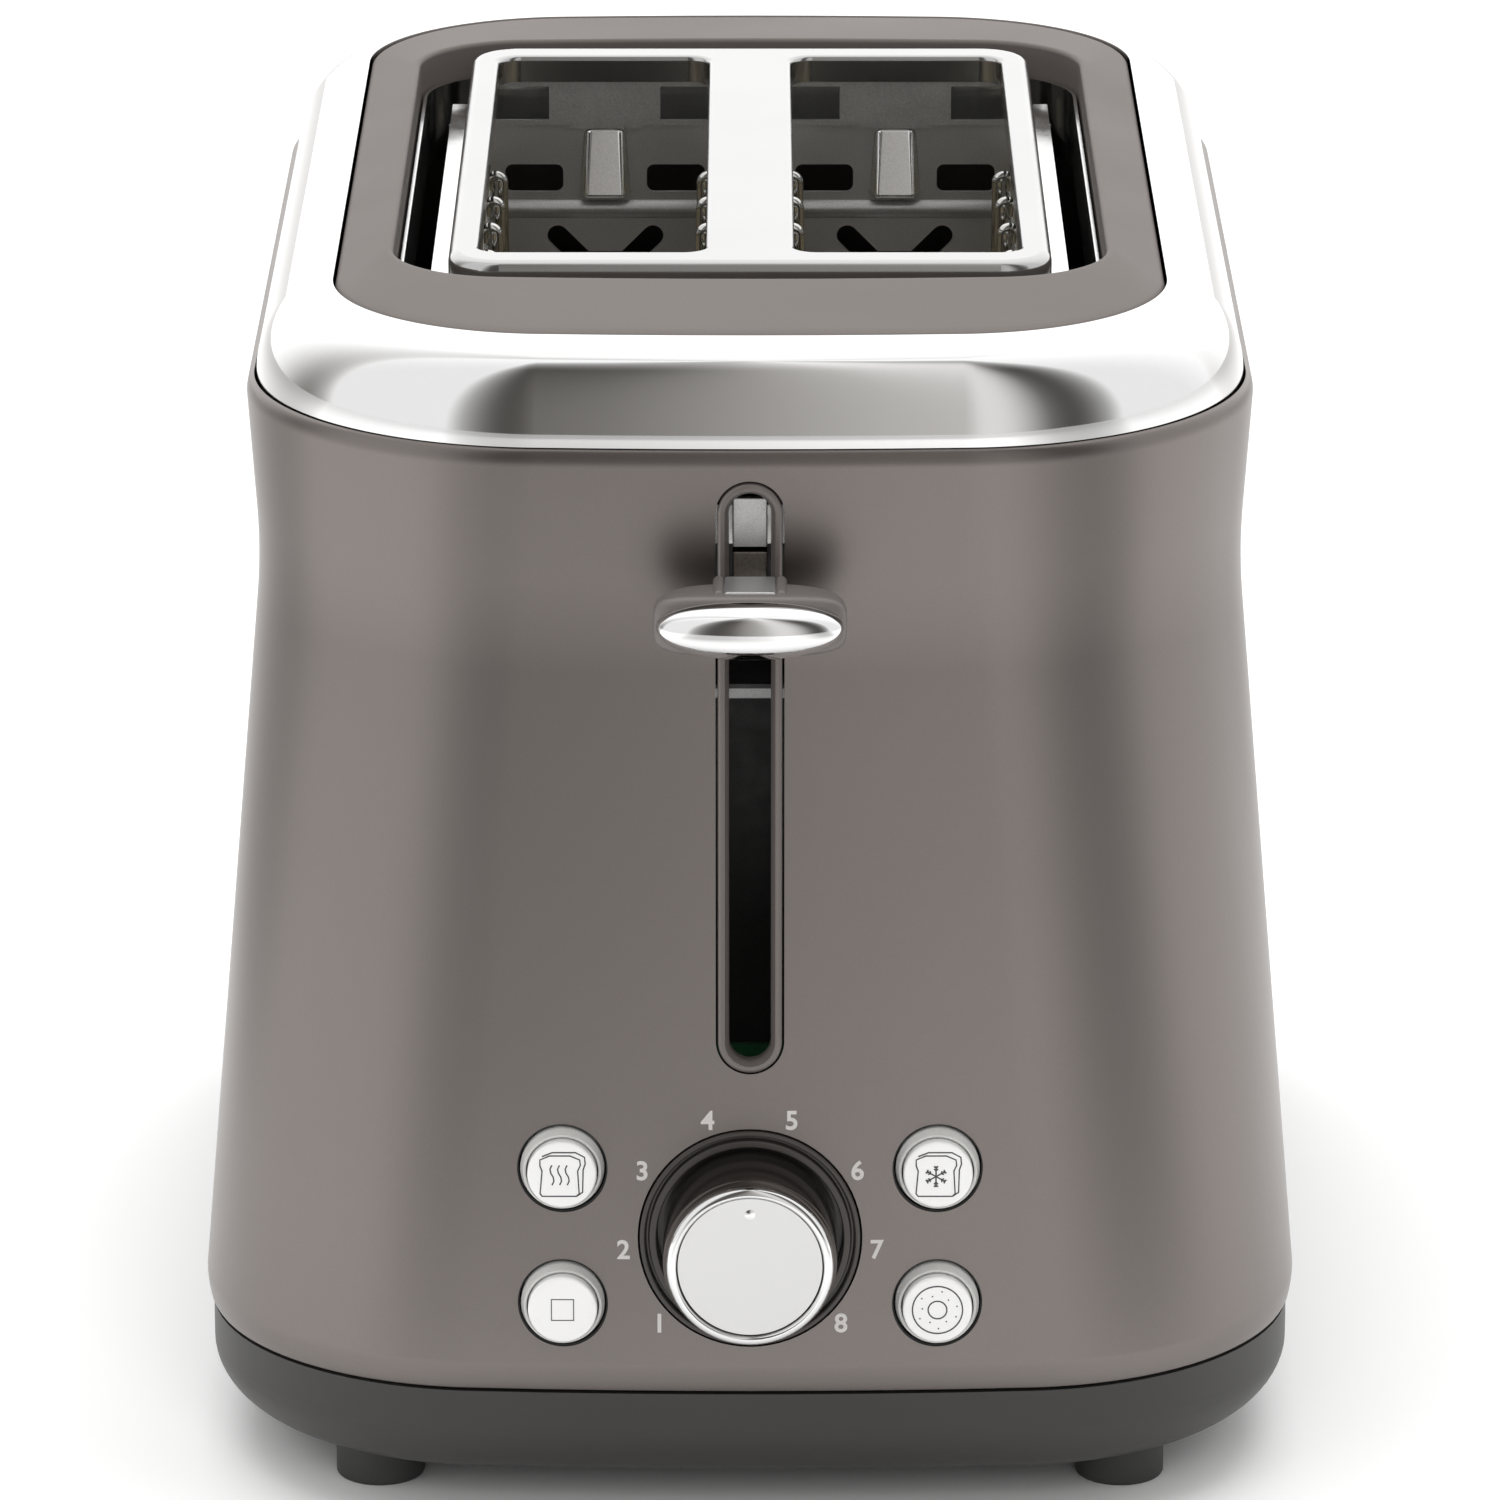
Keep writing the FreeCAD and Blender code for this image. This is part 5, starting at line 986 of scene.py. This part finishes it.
@dataclass
class ButtonSet:
    """The four round buttons with their clear rings and their marks."""

    form: BodyForm
    NAMES = ("reheat", "defrost", "stop", "bagel")
    line: float = 0.14 * MM

    def build(self) -> None:
        """Builds each button's cap and ring, and its mark."""
        for name in self.NAMES:
            self.cap(name)
            self.ring(name)
            self.mark(name)

    def centre(self, name: str) -> tuple[Vector, float]:
        """The middle of a button's face and its radius."""
        low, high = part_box(f"button_cap_{name}")
        return Vector(((low.x + high.x) / 2, low.y, (low.z + high.z) / 2)), (high.x - low.x) / 2

    def cap(self, name: str) -> None:
        """The silver cap: a turned disc with a soft edge and its stem."""
        face, radius = self.centre(name)
        rear = face.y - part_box(f"button_cap_{name}")[1].y
        profile = [(0, 0), (radius * 0.5, -0.01 * MM)] + chain(
            [(radius * 0.7, -0.02 * MM, 0), (radius, -0.02 * MM, 0.45 * MM), (radius, -4.4 * MM, 0)])
        profile += [(2.4 * MM, -4.5 * MM), (2.4 * MM, rear), (0, rear)]
        settle(f"cap_{name}", lathe(profile, face, 72), Kit.BUTTON, f"button_{name}",
               [f"button_cap_{name}"])

    def ring(self, name: str) -> None:
        """The clear ring round the cap, which slopes back to the skin."""
        face, radius = self.centre(name)
        low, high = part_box(f"button_ring_{name}")
        outer = (high.x - low.x) / 2
        front = face.y - low.y - 0.35 * MM
        rear = face.y - high.y
        corners = [(radius + 0.25 * MM, rear, 0), (radius + 0.25 * MM, front - 0.4 * MM, 0.1 * MM),
                   (radius + 0.65 * MM, front, 0.25 * MM), (outer, front - 2.2 * MM, 1.2 * MM),
                   (outer, rear, 0)]
        profile = chain(corners, 6)
        profile.append(profile[0])
        settle(f"ring_{name}", lathe(profile, face, 72), Kit.LENS, f"button_{name}",
               [f"button_ring_{name}"])

    def mark(self, name: str) -> None:
        """The engraved mark on a cap."""
        face = self.centre(name)[0]
        strokes = {"reheat": self.reheat, "defrost": self.defrost, "stop": self.stop,
                   "bagel": self.bagel}[name]()
        curve = bpy.data.curves.new(f"mark_{name}", "CURVE")
        curve.dimensions = "3D"
        curve.bevel_depth = self.line
        curve.bevel_resolution = 1
        for points, closed in strokes:
            spline = curve.splines.new("POLY")
            spline.points.add(len(points) - 1)
            for point, (x, z) in zip(spline.points, points):
                point.co = (x * MM, 0, z * MM, 1)
            spline.use_cyclic_u = closed
        holder = bpy.data.objects.new("mark", curve)
        mesh = bpy.data.meshes.new_from_object(holder)
        bpy.data.objects.remove(holder)
        bm = bmesh.new()
        bm.from_mesh(mesh)
        bpy.data.meshes.remove(mesh)
        bmesh.ops.scale(bm, vec=(1, 0.35, 1), verts=bm.verts)
        bmesh.ops.translate(bm, vec=face + Vector((0, -0.005 * MM, 0)), verts=bm.verts)
        settle(f"engraving_{name}", bm, Kit.ENGRAVED, f"button_{name}")

    def slice(self) -> list[tuple[list[tuple[float, float]], bool]]:
        """The outline of a slice of bread with its edge behind it."""
        wide, tall = 1.17, 1.2
        front = [(-2.9, -3.2), (2.1, -3.2), (2.5, -2.8), (2.3, 0.6), (2.7, 1.5), (2.6, 2.3), (1.2, 2.9),
                 (-1.8, 2.9),
                 (-3.2, 2.3), (-3.2, 1.4), (-2.9, 0.6), (-3.2, -2.8)]
        edge = [(2.1, -3.2), (3.0, -2.6), (3.1, 0.8), (3.4, 1.7), (3.3, 2.7), (2.0, 3.4), (-1.4, 3.4),
                (-2.9, 2.8)]
        return [([(x * wide, z * tall) for x, z in front], True),
                ([(x * wide, z * tall) for x, z in edge], False)]

    def reheat(self) -> list[tuple[list[tuple[float, float]], bool]]:
        """A slice with three wavy lines of heat."""
        waves = []
        for x in (-1.7, -0.4, 0.9):
            waves.append(([(x + 0.35 * math.sin(t * 1.25), -1.8 + t * 0.72) for t in range(0, 6)], False))
        return self.slice() + waves

    def defrost(self) -> list[tuple[list[tuple[float, float]], bool]]:
        """A slice with a snowflake."""
        strokes = self.slice()
        centre = (-0.35, -0.25)
        for i in range(6):
            angle = math.radians(60 * i + 30)
            tip = (centre[0] + 1.9 * math.cos(angle), centre[1] + 1.9 * math.sin(angle))
            strokes.append(([centre, tip], False))
            for part in (0.55, 0.8):
                foot = (centre[0] + 1.9 * part * math.cos(angle), centre[1] + 1.9 * part * math.sin(angle))
                for lean in (-0.8, 0.8):
                    end = (foot[0] + 0.5 * math.cos(angle + lean), foot[1] + 0.5 * math.sin(angle + lean))
                    strokes.append(([foot, end], False))
        return strokes

    def stop(self) -> list[tuple[list[tuple[float, float]], bool]]:
        """A plain square, the common mark for stopping."""
        return [([(-1.9, -1.9), (1.9, -1.9), (1.9, 1.9), (-1.9, 1.9)], True)]

    def bagel(self) -> list[tuple[list[tuple[float, float]], bool]]:
        """A ring roll with seeds."""
        strokes = []
        for radius in (4.3, 1.6):
            strokes.append(([(radius * math.cos(t * FULL_TURN / 36), radius * math.sin(t * FULL_TURN / 36))
                             for t in range(36)], True))
        for i in range(11):
            angle = i * FULL_TURN / 11 + 0.2
            radius = 2.6 if i % 2 else 3.4
            x, z = radius * math.cos(angle), radius * math.sin(angle)
            strokes.append(([(x - 0.12, z), (x + 0.12, z)], False))
        return strokes


@dataclass
class DialMarks:
    """The numbers printed round the knob."""

    form: BodyForm
    height: float = 4.6 * MM
    ring: float = 21.8 * MM
    first: float = -134.5
    step: float = 38.4

    def build(self) -> None:
        """Prints the numbers 1 to 8 on the skin."""
        low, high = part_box("knob_skirt")
        centre_z = (low.z + high.z) / 2
        for number in range(1, 9):
            angle = math.radians(self.first + self.step * (number - 1))
            self.digit(str(number), self.ring * math.sin(angle), centre_z + self.ring * math.cos(angle))

    def digit(self, text: str, x: float, z: float) -> None:
        """Prints one number, wrapped on the skin."""
        curve = bpy.data.curves.new("digit", "FONT")
        curve.body = text
        curve.size = self.height
        curve.align_x = "CENTER"
        curve.align_y = "CENTER"
        curve.offset = 0.00010
        holder = bpy.data.objects.new("digit", curve)
        mesh = bpy.data.meshes.new_from_object(holder)
        bpy.data.objects.remove(holder)
        bm = bmesh.new()
        bm.from_mesh(mesh)
        bpy.data.meshes.remove(mesh)
        for vert in bm.verts:
            place_x, place_z = x + vert.co.x, z + vert.co.y
            vert.co = Vector((place_x, self.form.skin(place_x, place_z) - 0.04 * MM, place_z))
        bmesh.ops.remove_doubles(bm, verts=bm.verts, dist=0.002 * MM)
        made = bmesh.ops.extrude_face_region(bm, geom=bm.faces[:])["geom"]
        sunk = [item for item in made if isinstance(item, bmesh.types.BMVert)]
        bmesh.ops.translate(bm, vec=(0, 0.1 * MM, 0), verts=sunk)
        settle(f"number_{text}", bm, Kit.PRINT, "housing")


@dataclass
class Springs:
    """The two lift springs round the guide rods."""

    wire: float = 0.55 * MM
    mean: float = 4.4 * MM
    turns: int = 13
    per_turn: int = 28

    def build(self) -> None:
        """Builds both springs as one piece."""
        low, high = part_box("lift_springs")
        curve = bpy.data.curves.new("springs", "CURVE")
        curve.dimensions = "3D"
        curve.bevel_depth = self.wire
        curve.bevel_resolution = 3
        rod_low, rod_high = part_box("guide_rods")
        y = (rod_low.y + rod_high.y) / 2
        x = (rod_high.x - rod_low.x) / 2 - (rod_high.y - rod_low.y) / 2
        length = high.z - low.z - 2 * self.wire
        count = self.turns * self.per_turn
        for side in (-1, 1):
            spline = curve.splines.new("POLY")
            spline.points.add(count)
            for i, point in enumerate(spline.points):
                angle = FULL_TURN * i / self.per_turn
                point.co = (side * x + self.mean * math.cos(angle), y + self.mean * math.sin(angle),
                            low.z + self.wire + length * i / count, 1)
        holder = bpy.data.objects.new("springs", curve)
        mesh = bpy.data.meshes.new_from_object(holder)
        bpy.data.objects.remove(holder)
        bm = bmesh.new()
        bm.from_mesh(mesh)
        bpy.data.meshes.remove(mesh)
        piece = settle("coil_springs", bm, Kit.WIRE, "housing", ["lift_springs"])
        piece.modifiers.clear()
        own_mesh(piece)


@dataclass
class CadFinishes:
    """Finishes of the CAD nodes that stay as they are."""

    plan: dict[Kit, tuple[str, ...]] = field(default_factory=lambda: {
        Kit.FRAME: ("slot_frame",),
        Kit.BASE: ("base_tray", "crumb_tray_handle"),
        Kit.RUBBER: ("rubber_feet",),
        Kit.SHEET: ("rear_end_plate", "frame_hangers", "crumb_tray", "latch_armature", "magnet_core"),
        # painted shade: these plates wear the darker copy of the galvanised sheet
        Kit.INNER: ("front_end_plate", "rod_brackets", "carriage_plate"),
        Kit.POLISHED: ("side_plate_left", "side_plate_right", "slot_well_liner", "lever_arm"),
        Kit.WIRE: ("bread_guide_left_outer", "bread_guide_left_inner", "bread_guide_right_outer",
                   "bread_guide_right_inner", "bread_rack_left", "bread_rack_right", "guide_rods",
                   "knob_shaft",
                   "base_screws"),
        Kit.MICA: ("mica_boards_outer", "mica_boards_centre"),
        Kit.RIBBON: ("heating_ribbons_outer", "heating_ribbons_centre"),
        Kit.DARK: ("button_carrier", "rotary_control", "push_switches", "board_components", "cord_gland",
                   "terminal_block", "supply_leads"),
        Kit.BOARD: ("control_board",),
        Kit.COPPER: ("magnet_coil",),
        Kit.NYLON: ("carriage_bushes",),
    })

    def build(self) -> None:
        """Dresses every node in the plan."""
        for kit, nodes in self.plan.items():
            dress(nodes, kit)


@dataclass
class Studio:
    """Floor, lights, surroundings and the camera."""

    distance: float = 1.6398
    height: float = 0.6101
    tilt: float = 17.4
    lens: float = 223.6
    sheet: float = 0.24
    sheet_fade: float = 0.60
    sheet_change: float = 0.55
    sheet_narrow: float = 1.35
    ceiling: float = 1.5
    ceiling_way: tuple[float, float, float] = (0.0, 0.85, 0.50)
    ceiling_low: float = 0.20
    ceiling_high: float = 0.85
    tones: tuple[tuple[float, float], ...] = (
        (-180, 0.93), (-150, 0.85), (-124, 0.20), (-98, 0.12), (-80, 2.60), (-54, 2.60), (-34, 0.05),
        (-8, 0.05),
        (6, 0.60), (14, 0.90), (26, 0.80), (40, 0.04), (64, 0.04), (82, 2.60), (106, 2.60), (124, 0.20),
        (150, 0.85), (180, 0.93))

    def build(self) -> None:
        """Sets up the studio."""
        self.camera()
        self.floor()
        self.surroundings()
        top = self.light("top_box", (0, 0.25, 1.5), (0, 0, 0.1), 1.6, 1.2, 14.0)
        top.visible_glossy = False
        fill = self.light("front_fill", (0, -1.7, 0.9), (0, 0, 0.1), 1.4, 0.9, 9.0)
        fill.visible_glossy = False

    def camera(self) -> None:
        """Makes the camera."""
        data = bpy.data.cameras.new("camera")
        data.lens = self.lens
        data.sensor_width = 36
        camera = bpy.data.objects.new("camera", data)
        camera.location = (0, -self.distance, self.height)
        camera.rotation_euler = (math.radians(90 - self.tilt), 0, 0)
        bpy.context.scene.collection.objects.link(camera)
        bpy.context.scene.camera = camera

    def floor(self) -> None:
        """Makes the floor: a pale sheet round the toaster. Beyond it the colour is painted light and
        shade, the bright windows and dark screens of the surroundings, which the shell reflects.
        """
        bm = bmesh.new()
        bmesh.ops.create_grid(bm, x_segments=1, y_segments=1, size=6.0)
        mesh = bpy.data.meshes.new("floor")
        bm.to_mesh(mesh)
        bm.free()
        floor = bpy.data.objects.new("floor", mesh)
        bpy.context.scene.collection.objects.link(floor)
        pale = Finish("pale_floor", (0.93, 0.93, 0.93), 0.0, 0.9, 2 * MM, 0.001 * MM, 0.02, 0.0, 0.0, 0.0)
        material = pale.make()
        nodes, links = material.node_tree.nodes, material.node_tree.links
        place = nodes.new("ShaderNodeTexCoord").outputs["Object"]
        narrow = nodes.new("ShaderNodeMapping")
        narrow.inputs["Scale"].default_value = (self.sheet_narrow, 1, 1)
        links.new(place, narrow.inputs["Vector"])
        reach = nodes.new("ShaderNodeVectorMath")
        reach.operation = "LENGTH"
        links.new(narrow.outputs["Vector"], reach.inputs[0])
        # painted light and shade: beyond the pale sheet the floor's colour blends into the tones of the
        # surroundings
        painted_light_mask = nodes.new("ShaderNodeMapRange")
        painted_light_mask.interpolation_type = "SMOOTHSTEP"
        painted_light_mask.inputs["From Min"].default_value = self.sheet
        painted_light_mask.inputs["From Max"].default_value = self.sheet_fade
        painted_light_mask.inputs["To Max"].default_value = self.sheet_change
        links.new(reach.outputs["Value"], painted_light_mask.inputs["Value"])
        mix = nodes.new("ShaderNodeMix")
        mix.data_type = "RGBA"
        mix.inputs["A"].default_value = (*pale.colour, 1)
        links.new(painted_light_mask.outputs["Result"], mix.inputs["Factor"])
        links.new(self.around(nodes, links, place), mix.inputs["B"])
        links.new(mix.outputs["Result"], nodes["Principled BSDF"].inputs["Base Color"])
        mesh.materials.append(material)

    def around(self, nodes: bpy.types.Nodes, links: bpy.types.NodeLinks,
               place: bpy.types.NodeSocket) -> bpy.types.NodeSocket:
        """Tones by direction about Z, from the back through the left, the front and the right: light in
        the world, painted light and shade on the floor.

        Args:
            nodes: nodes of the tree to add to.
            links: its links.
            place: the direction or position.

        Returns:
            The colour socket.
        """
        turn = nodes.new("ShaderNodeMapping")
        turn.inputs["Rotation"].default_value = (0, 0, math.pi / 2)
        links.new(place, turn.inputs["Vector"])
        angle = nodes.new("ShaderNodeTexGradient")
        angle.gradient_type = "RADIAL"
        links.new(turn.outputs["Vector"], angle.inputs["Vector"])
        ramp = nodes.new("ShaderNodeValToRGB")
        stops = ramp.color_ramp
        stops.interpolation = "B_SPLINE"
        first, last = stops.elements[0], stops.elements[1]
        for element, (degrees, tone) in zip((first, last), (self.tones[0], self.tones[-1])):
            element.position = 0.5 + degrees / 360
            element.color = self.warm(tone)
        for degrees, tone in self.tones[1:-1]:
            stops.elements.new(0.5 + degrees / 360).color = self.warm(tone)
        links.new(angle.outputs["Color"], ramp.inputs["Fac"])
        return ramp.outputs["Color"]

    def warm(self, tone: float) -> tuple[float, float, float, float]:
        """A grey that turns slightly brown as it darkens."""
        brown = 0.10 * (1 - min(1.0, tone))
        return tone * (1 + brown), tone, tone * (1 - brown), 1

    def surroundings(self) -> None:
        """Makes the soft surroundings: a bright ceiling over windows and dark screens."""
        world = bpy.data.worlds.new("studio")
        bpy.context.scene.world = world
        world.use_nodes = True
        nodes, links = world.node_tree.nodes, world.node_tree.links
        place = nodes.new("ShaderNodeTexCoord").outputs["Generated"]
        toward = nodes.new("ShaderNodeVectorMath")
        toward.operation = "DOT_PRODUCT"
        toward.inputs[1].default_value = self.ceiling_way
        links.new(place, toward.inputs[0])
        rise = nodes.new("ShaderNodeMapRange")
        rise.interpolation_type = "SMOOTHSTEP"
        rise.inputs["From Min"].default_value = self.ceiling_low
        rise.inputs["From Max"].default_value = self.ceiling_high
        links.new(toward.outputs["Value"], rise.inputs["Value"])
        mix = nodes.new("ShaderNodeMix")
        mix.data_type = "RGBA"
        mix.inputs["B"].default_value = (self.ceiling, self.ceiling, self.ceiling, 1)
        links.new(rise.outputs["Result"], mix.inputs["Factor"])
        links.new(self.around(nodes, links, place), mix.inputs["A"])
        links.new(mix.outputs["Result"], nodes["Background"].inputs["Color"])
        bpy.context.scene.view_settings.view_transform = "Standard"

    def light(self, name: str, place: tuple[float, float, float], aim: tuple[float, float, float],
              width: float, height: float, power: float) -> bpy.types.Object:
        """Adds a soft box that faces a point."""
        data = bpy.data.lights.new(name, "AREA")
        data.shape = "RECTANGLE"
        data.size = width
        data.size_y = height
        data.energy = power
        lamp = bpy.data.objects.new(name, data)
        lamp.location = place
        lamp.rotation_euler = (Vector(aim) - Vector(place)).to_track_quat("-Z", "Y").to_euler()
        bpy.context.scene.collection.objects.link(lamp)
        return lamp


def main() -> None:
    """Builds every sub-assembly in order."""
    logging.basicConfig(level=logging.INFO, format="%(message)s")
    form = body_form()
    parts: list[Callable[[], None]] = [
        CadFinishes().build, Shell(form).build, TopBand(form).build, TopRing(form).build, Ramps().build,
        Lever(form).build, Knob().build, ButtonSet(form).build, DialMarks(form).build, Springs().build,
        Studio().build,
    ]
    for part in parts:
        part()


if __name__ == "__main__":
    main()
